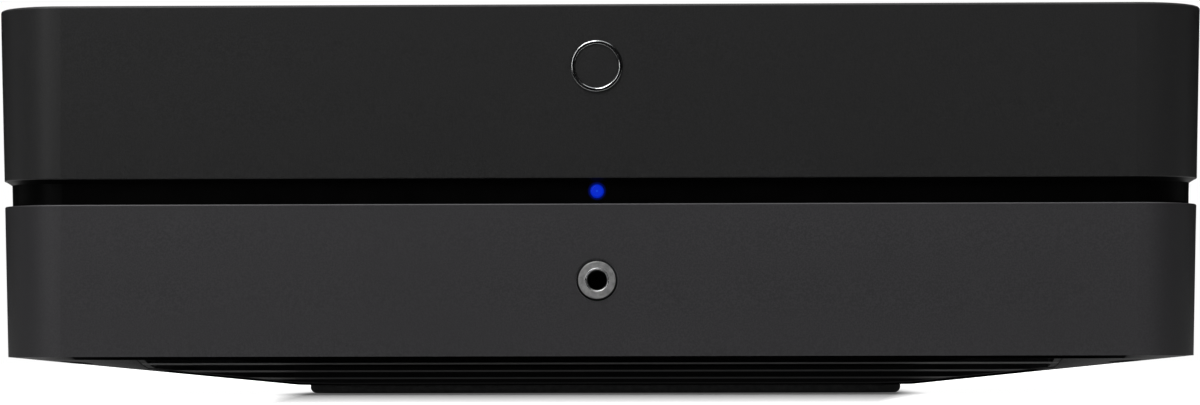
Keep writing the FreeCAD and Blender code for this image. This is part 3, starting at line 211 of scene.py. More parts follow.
# Painted highlight: a paler tone along the middle of each rib's downward face.
above_rib = worked(nodes, links, "SUBTRACT", level_of_place(nodes, links, "Z"), top_rib)
off_rib = worked(nodes, links, "PINGPONG", above_rib, rib_spacing / 2)
on_rib = spread(nodes, links, off_rib, 1.0, 0.0, highlight_half_width, 2 * highlight_half_width)
facing_down = spread(nodes, links, level_of_normal(nodes, links, "Z"), 1.0, 0.0, -0.9, -0.7)
painted_rib_highlight = worked(nodes, links, "MULTIPLY", on_rib, facing_down)
mould_tone = blended(nodes, links, speckle(nodes, links, 0.0003, 3.0), (0.0140, 0.0140, 0.0147),
                     (0.0200, 0.0200, 0.0208))
highlight_tone = blended(nodes, links, speckle(nodes, links, 0.004, 3.0), (0.200, 0.200, 0.203),
                    (0.250, 0.250, 0.254))
links.new(blended(nodes, links, painted_rib_highlight, mould_tone, highlight_tone), shader.inputs["Base Color"])
links.new(spread(nodes, links, speckle(nodes, links, 0.0004, 3.0), 0.5, 0.62), shader.inputs["Roughness"])
shader.inputs["Specular IOR Level"].default_value = 0.12
clad(vent_black, "front_vent_grille", "rear_vent_grille")


# Vent screens: a strip of fine black perforated steel stands behind each grille, between the
# tub's floor and the chassis plate. Its lower corners are cut off where the floor rises.
def extruded(piece, front, back):
    face = [piece.verts.new(p) for p in front]
    rear = [piece.verts.new(p) for p in back]
    piece.faces.new(face)
    piece.faces.new(rear[::-1])
    for a in range(len(face)):
        b = (a + 1) % len(face)
        piece.faces.new((face[b], face[a], rear[a], rear[b]))


def finished(name, piece, material, body, bevel=0.0):
    bmesh.ops.recalc_face_normals(piece, faces=piece.faces[:])
    mesh = bpy.data.meshes.new(name)
    piece.to_mesh(mesh)
    piece.free()
    made = bpy.data.objects.new(name, mesh)
    bpy.context.scene.collection.objects.link(made)
    mesh.materials.append(material)
    if bevel:
        rounding = made.modifiers.new("rounded_edges", "BEVEL")
        rounding.width = bevel
        rounding.segments = 2
        rounding.limit_method = "ANGLE"
    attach(made, body)
    return made


edge_break = 0.0001
screen_y, screen_thickness = 0.0452, 0.0006
screen_foot_reach, screen_reach = 0.058, 0.083
screen_foot, screen_shoulder, screen_top = 0.00365, 0.0066, 0.00998
holes_per_metre = 900.0
screen_steel, nodes, links, shader = wired("screen_steel")
place = nodes.new("ShaderNodeTexCoord")
punched = nodes.new("ShaderNodeTexVoronoi")
punched.inputs["Scale"].default_value = holes_per_metre
punched.inputs["Randomness"].default_value = 0.0
links.new(place.outputs["Object"], punched.inputs["Vector"])
hole = spread(nodes, links, punched.outputs["Distance"], 1.0, 0.0, 0.28, 0.36)
links.new(blended(nodes, links, hole, (0.0060, 0.0060, 0.0062), (0.0004, 0.0004, 0.0004)),
          shader.inputs["Base Color"])
shader.inputs["Roughness"].default_value = 0.7
shader.inputs["Specular IOR Level"].default_value = 0.2
outline = [(-screen_foot_reach, screen_foot), (screen_foot_reach, screen_foot),
           (screen_reach, screen_shoulder), (screen_reach, screen_top),
           (-screen_reach, screen_top), (-screen_reach, screen_shoulder)]
for name, side in (("front_vent_screen", -1), ("rear_vent_screen", 1)):
    near = [(x, side * screen_y, z) for x, z in outline]
    far = [(x, side * (screen_y + screen_thickness), z) for x, z in outline]
    piece = bmesh.new()
    extruded(piece, near, far)
    finished(name, piece, screen_steel, "case", edge_break)


# Foot pad: one die-cut slab of dense black rubber, glued into its recess, with
# a dull, dusty surface.
rubber, nodes, links, shader = wired("foot_rubber")
dust = speckle(nodes, links, 0.0011, 6.0)
wiped = speckle(nodes, links, 0.03, 3.0)
links.new(blended(nodes, links, spread(nodes, links, dust, 0.0, 1.0, 0.35, 0.75), (0.078, 0.078, 0.079),
                  (0.115, 0.115, 0.114)), shader.inputs["Base Color"])
links.new(spread(nodes, links, wiped, 0.72, 0.92), shader.inputs["Roughness"])
shader.inputs["Specular IOR Level"].default_value = 0.25
clad(rubber, "foot_pad")


# Chassis plate: pressed zinc-plated steel with the pale spangle of hot dipping,
# held on brass standoffs by small plated screws.
def plated(name, colour, roughness, size=0.004, stretch=(1.0, 1.0, 1.0), contrast=0.1):
    material, nodes, links, shader = wired(name)
    streak = speckle(nodes, links, size, 4.0, stretch)
    fine = speckle(nodes, links, 0.0002, 2.0, stretch)
    links.new(blended(nodes, links, spread(nodes, links, streak, 0.0, 1.0), shaded(colour, 1.0 - contrast),
                      shaded(colour, 1.0 + contrast)), shader.inputs["Base Color"])
    links.new(spread(nodes, links, streak, roughness - 0.06, roughness + 0.08), shader.inputs["Roughness"])
    shader.inputs["Metallic"].default_value = 1.0
    embossed(nodes, links, shader, fine, 0.25, 0.00001)
    return material


flakes_per_metre = 160.0
spangle, nodes, links, shader = wired("chassis_zinc")
place = nodes.new("ShaderNodeTexCoord")
flakes = nodes.new("ShaderNodeTexVoronoi")
flakes.inputs["Scale"].default_value = flakes_per_metre
links.new(place.outputs["Object"], flakes.inputs["Vector"])
flake_tone = nodes.new("ShaderNodeSeparateColor")
links.new(flakes.outputs["Color"], flake_tone.inputs["Color"])
links.new(blended(nodes, links, flake_tone.outputs["Red"], (0.34, 0.35, 0.36), (0.47, 0.48, 0.50)),
          shader.inputs["Base Color"])
links.new(spread(nodes, links, flake_tone.outputs["Green"], 0.34, 0.5, 0.0, 1.0),
          shader.inputs["Roughness"])
shader.inputs["Metallic"].default_value = 1.0
clad(spangle, "chassis_plate")
nickel = plated("plated_nickel", (0.60, 0.58, 0.54), 0.3)
clad(nickel, "board_standoffs", "speaker_straps")
bright_steel = plated("plated_steel", (0.46, 0.47, 0.49), 0.28, 0.003)
clad(bright_steel, "board_screws", "processor_shield", "wireless_module")


# Circuit boards: green solder mask over copper tracks that run square to the edges,
# with a scatter of tinned pads.
tracks_per_metre, pads_per_metre = 120.0, 210.0
track_gap = 0.035
green_mask, nodes, links, shader = wired("board_solder_mask")
place = nodes.new("ShaderNodeTexCoord")
tracks = nodes.new("ShaderNodeTexBrick")
tracks.inputs["Scale"].default_value = tracks_per_metre
tracks.inputs["Mortar Size"].default_value = track_gap
tracks.inputs["Color1"].default_value = (0.0, 0.0, 0.0, 1.0)
tracks.inputs["Color2"].default_value = (0.25, 0.25, 0.25, 1.0)
tracks.inputs["Mortar"].default_value = (1.0, 1.0, 1.0, 1.0)
links.new(place.outputs["Object"], tracks.inputs["Vector"])
pads = nodes.new("ShaderNodeTexVoronoi")
pads.inputs["Scale"].default_value = pads_per_metre
links.new(place.outputs["Object"], pads.inputs["Vector"])
mask_tone = blended(nodes, links, tracks.outputs["Color"], (0.008, 0.075, 0.030), (0.016, 0.135, 0.055))
pad_spot = spread(nodes, links, pads.outputs["Distance"], 1.0, 0.0, 0.10, 0.13)
links.new(blended(nodes, links, pad_spot, mask_tone, (0.62, 0.60, 0.55)), shader.inputs["Base Color"])
links.new(pad_spot, shader.inputs["Metallic"])
shader.inputs["Roughness"].default_value = 0.32
embossed(nodes, links, shader, tracks.outputs["Color"], 0.4, 0.00004)
clad(green_mask, "power_board", "main_board", "amplifier_board", "headphone_board", "light_board",
     "touch_board", "antennas")


# Transformer: a dark ferrite core, its pressed grain left bare, round a winding
# that is wrapped in yellow polyester tape.
ferrite = moulded("core_ferrite", (0.022, 0.022, 0.024), 0.6, 0.0004, 0.00004, 0.5, 0.01, 0.12)
clad(ferrite, "transformer_core", "output_inductors")


wave_at_scale_one = 0.314


def wrapped(name, first, second, pitch, direction, roughness, metallic=0.0):
    material, nodes, links, shader = wired(name)
    place = nodes.new("ShaderNodeTexCoord")
    bands = nodes.new("ShaderNodeTexWave")
    bands.wave_type = "BANDS"
    bands.bands_direction = direction
    bands.inputs["Scale"].default_value = wave_at_scale_one / pitch
    bands.inputs["Distortion"].default_value = 0.4
    bands.inputs["Detail Scale"].default_value = 3.0
    links.new(place.outputs["Object"], bands.inputs["Vector"])
    links.new(blended(nodes, links, bands.outputs["Fac"], first, second), shader.inputs["Base Color"])
    shader.inputs["Roughness"].default_value = roughness
    shader.inputs["Metallic"].default_value = metallic
    embossed(nodes, links, shader, bands.outputs["Fac"], 0.6, pitch * 0.3)
    return material


winding_tape = wrapped("winding_tape", (0.42, 0.27, 0.03), (0.66, 0.45, 0.06), 0.004, "Z", 0.38)
clad(winding_tape, "transformer_winding")
choke_copper = wrapped("choke_copper", (0.30, 0.08, 0.03), (0.62, 0.22, 0.09), 0.0009, "DIAGONAL", 0.28,
                       0.8)
clad(choke_copper, "mains_choke")


# Capacitors: aluminium cans in dark blue shrink sleeve that leaves the scored top bare.
# The mains fuse beside them is a glass tube in two sprung clips.
sleeve, nodes, links, shader = wired("capacitor_sleeve")
bare_top = spread(nodes, links, level_of_normal(nodes, links, "Z"), 0.0, 1.0, 0.86, 0.92)
sleeve_tone = blended(nodes, links, speckle(nodes, links, 0.006, 3.0), (0.006, 0.010, 0.040),
                      (0.010, 0.016, 0.058))
can_tone = blended(nodes, links, speckle(nodes, links, 0.0006, 2.0), (0.55, 0.56, 0.57), (0.68, 0.69, 0.70))
links.new(blended(nodes, links, bare_top, sleeve_tone, can_tone), shader.inputs["Base Color"])
links.new(bare_top, shader.inputs["Metallic"])
links.new(spread(nodes, links, speckle(nodes, links, 0.002, 2.0), 0.24, 0.36), shader.inputs["Roughness"])
clad(sleeve, "bulk_capacitors", "output_capacitors")
fuse_glass, nodes, links, shader = wired("fuse_glass")
links.new(blended(nodes, links, speckle(nodes, links, 0.003, 2.0), (0.70, 0.74, 0.74), (0.82, 0.86, 0.85)),
          shader.inputs["Base Color"])
shader.inputs["Roughness"].default_value = 0.08
shader.inputs["Transmission Weight"].default_value = 0.6
clad(fuse_glass, "mains_fuse")


# Amplifier stage: four moulded chips under an extruded aluminium heat sink whose
# fins carry fine lines along the extrusion.
chip_epoxy = moulded("chip_epoxy", (0.0085, 0.0085, 0.0088), 0.5, 0.0002, 0.00001, 0.5)
clad(chip_epoxy, "amplifier_chips")
sink_metal = plated("sink_aluminium", (0.62, 0.63, 0.645), 0.36, 0.0012, (6.0, 0.15, 6.0))
clad(sink_metal, "heat_sink")


# Leads: silicone-jacketed wires between the boards, and white flat ribbons whose
# conductors show as fine grey lines.
def jacket(name, colour):
    return moulded(name, colour, 0.45, 0.0006, 0.00001, 0.5, 0.01, 0.1)


clad(jacket("red_lead", (0.32, 0.012, 0.010)), "dc_harness")
clad(jacket("brown_lead", (0.10, 0.038, 0.016)), "inlet_wires")
clad(jacket("black_lead", (0.008, 0.008, 0.008)), "antenna_leads")
clad(wrapped("ribbon_film", (0.42, 0.42, 0.42), (0.66, 0.66, 0.63), 0.001, "X", 0.4), "front_ribbons")


# Rear panel: a moulded tray, black with a coarser texture than the case, that holds
# all the sockets and sits at the bottom of a deep recess.
tray_black = moulded("rear_tray_black", (0.0100, 0.0100, 0.0104), 0.55, 0.00045, 0.00006, 0.4)
clad(tray_black, "rear_panel")


# Mains inlet: a black figure-eight socket with two round nickel pins deep in its mouth.
# Two brown wires take the mains to the power board.
socket_black = moulded("socket_black", (0.0075, 0.0075, 0.0078), 0.4, 0.0003, 0.00001, 0.5)
clad(socket_black, "mains_inlet_housing", "headphone_jack_body", "minijack_sockets", "lan_socket_insert",
     "socket_tongues")
pin_nickel = plated("pin_nickel", (0.62, 0.60, 0.56), 0.2, 0.002, (1.0, 0.2, 1.0))
clad(pin_nickel, "mains_inlet_pins")


# Network socket: a folded nickel-plated can round a black insert. Eight gold contacts slope
# through its mouth, and a green and an amber light window sit in the upper corners.
def upright_box(piece, low, high):
    corners = [piece.verts.new((low[0] if i & 1 else high[0], low[1] if i & 2 else high[1],
                                low[2] if i & 4 else high[2])) for i in range(8)]
    sides = ((0, 1, 3, 2), (4, 6, 7, 5), (0, 4, 5, 1), (2, 3, 7, 6), (0, 2, 6, 4), (1, 5, 7, 3))
    for side in sides:
        piece.faces.new([corners[i] for i in side])


clad(bright_steel, "lan_socket_shell", "usb_socket_shell", "video_socket_shell")
gold_flash = plated("gold_flash", (0.75, 0.53, 0.22), 0.22, 0.002)
lan_low, lan_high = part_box("lan_socket_shell")
lan_x = (lan_low.x + lan_high.x) / 2
lan_ways, lan_pitch = 8, 0.00102
lan_half, lan_thickness = 0.00022, 0.00025
lan_front, lan_back = lan_high.y - 0.0018, lan_high.y - 0.0093
lan_head, lan_foot = lan_low.z + 0.0102, lan_low.z + 0.0060
piece = bmesh.new()
for index in range(lan_ways):
    x = lan_x + (index - (lan_ways - 1) / 2) * lan_pitch
    upper = [(x - lan_half, lan_front, lan_head), (x + lan_half, lan_front, lan_head),
             (x + lan_half, lan_back, lan_foot), (x - lan_half, lan_back, lan_foot)]
    extruded(piece, upper, [(u, v, w + lan_thickness) for u, v, w in upper])
finished("lan_contacts", piece, gold_flash, "case")


def lamp_window(name, colour):
    material, nodes, links, shader = wired(name)
    links.new(blended(nodes, links, speckle(nodes, links, 0.0008, 2.0), shaded(colour, 0.8), colour),
              shader.inputs["Base Color"])
    shader.inputs["Roughness"].default_value = 0.2
    shader.inputs["Coat Weight"].default_value = 0.5
    return material


pane_offset, pane_half = 0.0056, 0.0012
pane_foot, pane_head = lan_low.z + 0.0118, lan_low.z + 0.0130
for name, side, colour in (("lan_green_window", -1, (0.05, 0.30, 0.07)),
                           ("lan_amber_window", 1, (0.50, 0.24, 0.03))):
    pane_x = lan_x + side * pane_offset
    piece = bmesh.new()
    upright_box(piece, (pane_x - pane_half, lan_high.y - 0.0004, pane_foot),
                (pane_x + pane_half, lan_high.y + 0.0001, pane_head))
    finished(name, piece, lamp_window(name, colour), "case", edge_break)


# Storage and television sockets: drawn shells with black tongues, each tongue with a row of
# gold contact strips on its face.
strip_start, strip_end, strip_half_thickness = 0.0065, 0.0020, 0.00006


def contact_row(name, shell, drop, span, count, width):
    low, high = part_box(shell)
    centre_x = (low.x + high.x) / 2
    level = (low.z + high.z) / 2 + drop
    piece = bmesh.new()
    for index in range(count):
        x = centre_x + span * (index / (count - 1) - 0.5)
        upright_box(piece, (x - width / 2, high.y - strip_start, level - strip_half_thickness),
                    (x + width / 2, high.y - strip_end, level + strip_half_thickness))
    finished(name, piece, gold_flash, "case")


contact_row("usb_contacts", "usb_socket_shell", 0.00041, 0.0075, 4, 0.0011)
contact_row("video_contacts", "video_socket_shell", 0.00040, 0.0095, 10, 0.0004)


# Three jacks and the subwoofer socket: black-bodied jacks with plated rims, and a nickel barrel
# round a tinted insulator with a sprung centre sleeve.
clad(nickel, "subwoofer_socket")
tinted = moulded("tinted_insulator", (0.16, 0.03, 0.15), 0.3, 0.0005, 0.00001, 0.5)
clad(tinted, "subwoofer_insulator")


def turned(name, profile, centre, material, body, steps=96):
    piece = bmesh.new()
    rows = []
    for step in range(steps):
        angle = 2 * math.pi * step / steps
        rows.append([piece.verts.new((centre[0] + radius * math.cos(angle), y,
                                      centre[1] + radius * math.sin(angle))) for radius, y in profile])
    for step, row in enumerate(rows):
        after = rows[(step + 1) % steps]
        for i in range(len(profile)):
            j = (i + 1) % len(profile)
            piece.faces.new((row[i], row[j], after[j], after[i])).smooth = True
    return finished(name, piece, material, body)


jack_low, jack_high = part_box("minijack_sockets")
jack_width, jack_rise = 0.0076, 0.0035
jack_face = jack_high.y
rim_bore, rim_edge = 0.00190, 0.00270
rim_root, rim_crown = jack_face - 0.0002, jack_face + 0.00022
jack_pitch = (jack_high.x - jack_low.x - jack_width) / 2
for index in range(3):
    turned("jack_rim_%d" % (index + 1),
           [(rim_bore, rim_root), (rim_bore, jack_face + 0.00012), (rim_bore + 0.00015, rim_crown),
            (rim_edge - 0.00015, rim_crown), (rim_edge, jack_face + 0.00010), (rim_edge, rim_root)],
           (jack_low.x + jack_width / 2 + index * jack_pitch, jack_low.z + jack_rise),
           nickel, "case", 64)


# Speaker posts: gold-plated brass studs through black insulating collars. A gold clamp washer
# turns freely under each knurled cap, and a coloured ring in the cap's end tells the poles apart.
gold = plated("post_gold", (0.78, 0.56, 0.24), 0.18, 0.003)
post_black = moulded("post_black", (0.0080, 0.0080, 0.0084), 0.34, 0.0004, 0.00001, 0.5)
posts = range(1, 5)
clad(gold, "post_studs", *("post_washer_%d" % n for n in posts))
clad(post_black, "post_collars", *("post_knob_%d" % n for n in posts))
band_red = moulded("cap_ring_red", (0.42, 0.010, 0.012), 0.32, 0.0005, 0.00001, 0.5)
band_grey = moulded("cap_ring_grey", (0.055, 0.055, 0.058), 0.32, 0.0005, 0.00001, 0.5)
cap_ring_bore, cap_ring_edge, cap_ring_chamfer = 0.00330, 0.00520, 0.00015
for n in posts:
    low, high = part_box("post_knob_%d" % n)
    sunk, shoulder, crown = high.y - 0.0002, high.y + 0.00015, high.y + 0.00030
    ring = [(cap_ring_bore, sunk), (cap_ring_bore, shoulder), (cap_ring_bore + cap_ring_chamfer, crown),
            (cap_ring_edge - cap_ring_chamfer, crown), (cap_ring_edge, shoulder), (cap_ring_edge, sunk)]
    colour, slot = (band_red, "cap_red") if n % 2 else (band_grey, "cap_black")
    turned("cap_ring_%d" % n, ring, ((low.x + high.x) / 2, (low.z + high.z) / 2), colour,
           "cap_%d" % n)


# Pole marks: plain plus and minus signs, moulded proud of the tray below the posts and picked
# out in pale ink.
tray_y = 0.080
mark_height, mark_root = 0.00012, 0.00005
mark_drop = 0.0030
pale_ink = moulded("pale_ink", (0.55, 0.55, 0.54), 0.6, 0.0003, 0.00001, 0.3)
arm, half = 0.0016, 0.00028
plus_sign = [(half, half), (half, arm), (-half, arm), (-half, half), (-arm, half), (-arm, -half),
             (-half, -half), (-half, -arm), (half, -arm), (half, -half), (arm, -half), (arm, half)]
minus_sign = [(-arm, -half), (arm, -half), (arm, half), (-arm, half)]
piece = bmesh.new()
for n in posts:
    low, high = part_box("post_knob_%d" % n)
    x, z = (low.x + high.x) / 2, low.z - mark_drop
    outline = plus_sign if n % 2 else minus_sign
    extruded(piece, [(x + u, tray_y + mark_height, z + v) for u, v in outline],
             [(x + u, tray_y - mark_root, z + v) for u, v in outline])
finished("pole_marks", piece, pale_ink, "case")


# Headphone socket: a turned aluminium ring, its face dulled by the tool's fine circles and its
# outer rim painted dark as the shade of the gap round it, with a polished lip round the hole. A thin
# moulded gasket shows round it.
def from_axis(nodes, links, level):
    place = nodes.new("ShaderNodeTexCoord")
    centred = nodes.new("ShaderNodeVectorMath")
    centred.operation = "SUBTRACT"
    centred.inputs[1].default_value = (0.0, 0.0, level)
    links.new(place.outputs["Object"], centred.inputs[0])
    flat = nodes.new("ShaderNodeVectorMath")
    flat.operation = "MULTIPLY"
    flat.inputs[1].default_value = (1.0, 0.0, 1.0)
    links.new(centred.outputs["Vector"], flat.inputs[0])
    reach = nodes.new("ShaderNodeVectorMath")
    reach.operation = "LENGTH"
    links.new(flat.outputs["Vector"], reach.inputs[0])
    return reach.outputs["Value"]


ring_low, ring_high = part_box("headphone_jack_ring")
ring_z = (ring_low.z + ring_high.z) / 2
ring_front = ring_low.y
tool_step = 0.00006
rim_starts, rim_full = 0.00332, 0.00342
turned_face, nodes, links, shader = wired("turned_face")
reach = from_axis(nodes, links, ring_z)
circles = worked(nodes, links, "PINGPONG", reach, tool_step)
groove_height = spread(nodes, links, circles, 0.0, 1.0, 0.0, tool_step)
scuffs = speckle(nodes, links, 0.0007, 5.0)
scuffed = blended(nodes, links, spread(nodes, links, scuffs, 0.0, 1.0), (0.24, 0.24, 0.24),
                  (0.38, 0.38, 0.38))
# Painted shade: the outer rim goes dark, for the shade in the gap round the ring.
rim = spread(nodes, links, reach, 0.0, 1.0, rim_starts, rim_full)
links.new(blended(nodes, links, rim, scuffed, (0.020, 0.020, 0.021)), shader.inputs["Base Color"])
links.new(spread(nodes, links, scuffs, 0.36, 0.5), shader.inputs["Roughness"])
shader.inputs["Metallic"].default_value = 0.45
embossed(nodes, links, shader, groove_height, 0.35, 0.00002)
clad(turned_face, "headphone_jack_ring")
polished = plated("polished_lip", (0.86, 0.86, 0.87), 0.28, 0.0008)
lip_bore, lip_edge = 0.00182, 0.00224
lip_root = ring_front + 0.0012
turned("headphone_lip",
       [(lip_bore, lip_root), (lip_bore, ring_front + 0.00030), (0.00192, ring_front + 0.00006),
        (0.00206, ring_front - 0.00004), (lip_edge, ring_front + 0.00002), (lip_edge, ring_front + 0.0005),
        (0.00205, lip_root)],
       (0.0, ring_z), polished, "case")
gasket = moulded("jack_gasket", (0.055, 0.054, 0.057), 0.5, 0.0003, 0.00001, 0.3)
gasket_bore, gasket_edge, gasket_sag = 0.00365, 0.00392, 0.00010
gasket_root, gasket_rise, gasket_lip = ring_front + 0.00090, ring_front + 0.00050, ring_front + 0.00040
gasket_steps = 96
piece = bmesh.new()
rings = []
for radius, sag, y in ((gasket_bore, gasket_sag, gasket_root), (gasket_bore, gasket_sag, gasket_rise),
                       (gasket_edge, 0.0, gasket_lip), (gasket_edge, 0.0, gasket_root)):
    angles = [2 * math.pi * i / gasket_steps for i in range(gasket_steps)]
    rings.append([piece.verts.new((radius * math.cos(angle), y, ring_z - sag + radius * math.sin(angle)))
                  for angle in angles])
for near, far in zip(rings, rings[1:] + rings[:1]):
    for i in range(gasket_steps):
        j = (i + 1) % gasket_steps
        piece.faces.new((near[i], near[j], far[j], far[i])).smooth = True
finished("headphone_gasket", piece, gasket, "case")


# Waist band: a polished black moulding in the groove between the shells. Behind it sits the
# status light, a clear blue lens whose chip shows as a paler point. The band round it carries a
# painted glow, a faint blue emission that fades away from the lens.
light_low, light_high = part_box("status_light_lens")
light_z = (light_low.z + light_high.z) / 2
glow_full, glow_gone = 0.0011, 0.0017
chip_full, chip_gone = 0.0001, 0.00025
lens_full, lens_dimmed = 0.0009, 0.0013
band_gloss, nodes, links, shader = wired("band_gloss")
links.new(blended(nodes, links, speckle(nodes, links, 0.02, 2.0), (0.0004, 0.0004, 0.0004),
                  (0.0008, 0.0008, 0.0008)), shader.inputs["Base Color"])
links.new(spread(nodes, links, speckle(nodes, links, 0.004, 4.0), 0.34, 0.46), shader.inputs["Roughness"])
shader.inputs["Specular IOR Level"].default_value = 0.08
# Painted light: the band glows blue round the lens, fading out with distance.
shader.inputs["Emission Color"].default_value = (0.001, 0.02, 0.5, 1.0)
links.new(spread(nodes, links, from_axis(nodes, links, light_z), 0.3, 0.0, glow_full, glow_gone),
          shader.inputs["Emission Strength"])
clad(band_gloss, "waist_band")
blue_lens, nodes, links, shader = wired("blue_lens")
distance = from_axis(nodes, links, light_z)
links.new(blended(nodes, links, spread(nodes, links, distance, 0.0, 1.0, chip_full, chip_gone),
                  (0.006, 0.062, 0.66), (0.0008, 0.019, 0.56)), shader.inputs["Emission Color"])
links.new(spread(nodes, links, distance, 1.0, 0.6, lens_full, lens_dimmed),
          shader.inputs["Emission Strength"])
links.new(blended(nodes, links, speckle(nodes, links, 0.001, 2.0), (0.001, 0.004, 0.04),
                  (0.002, 0.008, 0.06)), shader.inputs["Base Color"])
shader.inputs["Roughness"].default_value = 0.25
shader.inputs["Specular IOR Level"].default_value = 0.2
clad(blue_lens, "status_light_lens")


# Upper shell: the deep cap of the case, moulded in the same ABS in a darker charcoal and
# screwed down to the tub's posts. Its rounded top edge carries a painted highlight.
upper_charcoal = moulded("upper_case_charcoal", (0.0205, 0.0205, 0.0209), 0.4, case_grain, case_relief,
                         0.35, edge_highlight_gain=2.0)
clad(upper_charcoal, "upper_shell")


# Touch window: a flush strip of black acrylic in the top, printed from below with five plain
# control signs.
window_black, nodes, links, shader = wired("window_black")
links.new(blended(nodes, links, speckle(nodes, links, 0.03, 3.0), (0.0022, 0.0022, 0.0024),
                  (0.0036, 0.0036, 0.0038)), shader.inputs["Base Color"])
links.new(spread(nodes, links, speckle(nodes, links, 0.012, 5.0), 0.06, 0.16), shader.inputs["Roughness"])
shader.inputs["Coat Weight"].default_value = 0.4
shader.inputs["Coat Roughness"].default_value = 0.05
clad(window_black, "touch_window")
window_low, window_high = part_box("touch_window")
window_y = (window_low.y + window_high.y) / 2
window_top = window_high.z


def arrow(size, way, offset=0.0):
    points = [(offset - way * size / 2, -size * 0.62), (offset + way * size / 2, 0.0),
              (offset - way * size / 2, size * 0.62)]
    return points if way > 0 else points[::-1]


def bar(width, height):
    return [(-width / 2, -height / 2), (width / 2, -height / 2), (width / 2, height / 2),
            (-width / 2, height / 2)]


icon = 0.0042
small = icon * 0.6
wide, thin = icon / 2, 0.0003
pause_width, pause_height = 0.0009, icon * 1.15
print_height = 0.00005
plus = [(thin, thin), (thin, wide), (-thin, wide), (-thin, thin), (-wide, thin), (-wide, -thin),
        (-thin, -thin), (-thin, -wide), (thin, -wide), (thin, -thin), (wide, -thin), (wide, thin)]
signs = [(-0.040, bar(icon, 2 * thin)), (-0.020, arrow(small, -1, 0.0013)),
         (-0.020, arrow(small, -1, -0.0010)), (-0.0018, arrow(icon, 1)),
         (0.0022, bar(pause_width, pause_height)), (0.0040, bar(pause_width, pause_height)),
         (0.020, arrow(small, 1, -0.0013)), (0.020, arrow(small, 1, 0.0010)), (0.040, plus)]
piece = bmesh.new()
for x, outline in signs:
    extruded(piece, [(x + u, window_y + v, window_top + print_height) for u, v in outline[::-1]],
             [(x + u, window_y + v, window_top - print_height) for u, v in outline[::-1]])
finished("touch_signs", piece, pale_ink, "case")


# Front badge: a plain ring of bright chrome on ABS with a half-round face, pressed into a
# shallow pocket in the upper shell.
badge_low, badge_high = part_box("front_badge")
badge_z = (badge_low.z + badge_high.z) / 2
badge_front = badge_low.y
badge_inner, badge_outer = 0.0039, 0.0047
badge_crown, badge_depth = 0.00034, 0.0006
chrome, nodes, links, shader = wired("badge_chrome")
links.new(blended(nodes, links, speckle(nodes, links, 0.0012, 4.0), (0.50, 0.50, 0.51),
                  (0.74, 0.75, 0.76)), shader.inputs["Base Color"])
links.new(spread(nodes, links, speckle(nodes, links, 0.0006, 3.0), 0.08, 0.22), shader.inputs["Roughness"])
shader.inputs["Metallic"].default_value = 1.0
half_round = []
for i in range(9):
    angle = math.pi * i / 8
    half_round.append((badge_inner + (badge_outer - badge_inner) / 2 * (1.0 - math.cos(angle)),
                       badge_front + badge_crown * (1.0 - math.sin(angle))))
half_round += [(badge_outer, badge_front + badge_depth), (badge_inner, badge_front + badge_depth)]
badge = turned("front_badge_ring", half_round, (0.0, badge_z), chrome, "case", 128)
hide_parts("front_badge")


# Screws: four long ones up through the tub into the cap, and four short ones through the
# tray, all blackened steel with worn recesses.
black_steel = plated("blackened_steel", (0.045, 0.045, 0.048), 0.38, 0.0015)
clad(black_steel, "case_screws", "panel_screws")


# Surface it stands on: a matt white table that runs on without an edge. Its paper is painted
# darker round the foot, and its white glow is held back under and in front of the case, so the soft
# shadow there is painted on top of the one the lamps cast.
table_reach = 12
sweep = bmesh.new()
corners = [sweep.verts.new((x * table_reach, y * table_reach, 0.0))
           for x, y in ((-1, -1), (1, -1), (1, 1), (-1, 1))]
sweep.faces.new(corners)
mesh = bpy.data.meshes.new("white_table")
sweep.to_mesh(mesh)
sweep.free()
table = bpy.data.objects.new("white_table", mesh)
bpy.context.scene.collection.objects.link(table)


def seen_by(nodes, links, *rays):
    path = nodes.new("ShaderNodeLightPath")
    seen = path.outputs[rays[0]]
    for ray in rays[1:]:
        seen = worked(nodes, links, "MAXIMUM", seen, path.outputs[ray])
    return seen


eye_rays = ("Is Camera Ray", "Is Glossy Ray", "Is Transmission Ray")
shadow_side, shadow_side_end = 0.0555, 0.0620
shadow_taper, shadow_taper_from = 0.07, 0.05
front_fade, front_fade_end = 0.19, 0.25
far_fade, far_fade_end = 0.20, 0.32
rear_fade, rear_fade_end = 0.085, 0.125
paper_shadow_to, paper_clean_from = 0.085, 0.23
least_glow, front_glow, side_glow_in_gloss = 0.10, 0.4, 0.3
table_white = bpy.data.materials.new("table_white")
table_white.use_nodes = True
nodes, links = table_white.node_tree.nodes, table_white.node_tree.links
nodes.clear()
geometry = nodes.new("ShaderNodeNewGeometry")
apart = nodes.new("ShaderNodeSeparateXYZ")
links.new(geometry.outputs["Position"], apart.inputs["Vector"])
across = worked(nodes, links, "ABSOLUTE", apart.outputs["X"], 0.0)
along = worked(nodes, links, "ABSOLUTE", apart.outputs["Y"], 0.0)
beyond_front = spread(nodes, links, along, 0.0, front_glow, front_fade, front_fade_end)
far_away = spread(nodes, links, along, 0.0, 1.0, far_fade, far_fade_end)
behind_case = spread(nodes, links, apart.outputs["Y"], 0.0, 1.0, rear_fade, rear_fade_end)
past_foot = worked(nodes, links, "MAXIMUM", worked(nodes, links, "SUBTRACT", along, shadow_taper_from), 0.0)
drawn_in = worked(nodes, links, "ADD", across, worked(nodes, links, "MULTIPLY", past_foot, shadow_taper))
beyond_side = spread(nodes, links, drawn_in, 0.0, 1.0, shadow_side, shadow_side_end)
straight = seen_by(nodes, links, "Is Camera Ray")
seen_straight = spread(nodes, links, straight, side_glow_in_gloss, 1.0, 0.0, 1.0)
beyond_side = worked(nodes, links, "MULTIPLY", beyond_side, seen_straight)
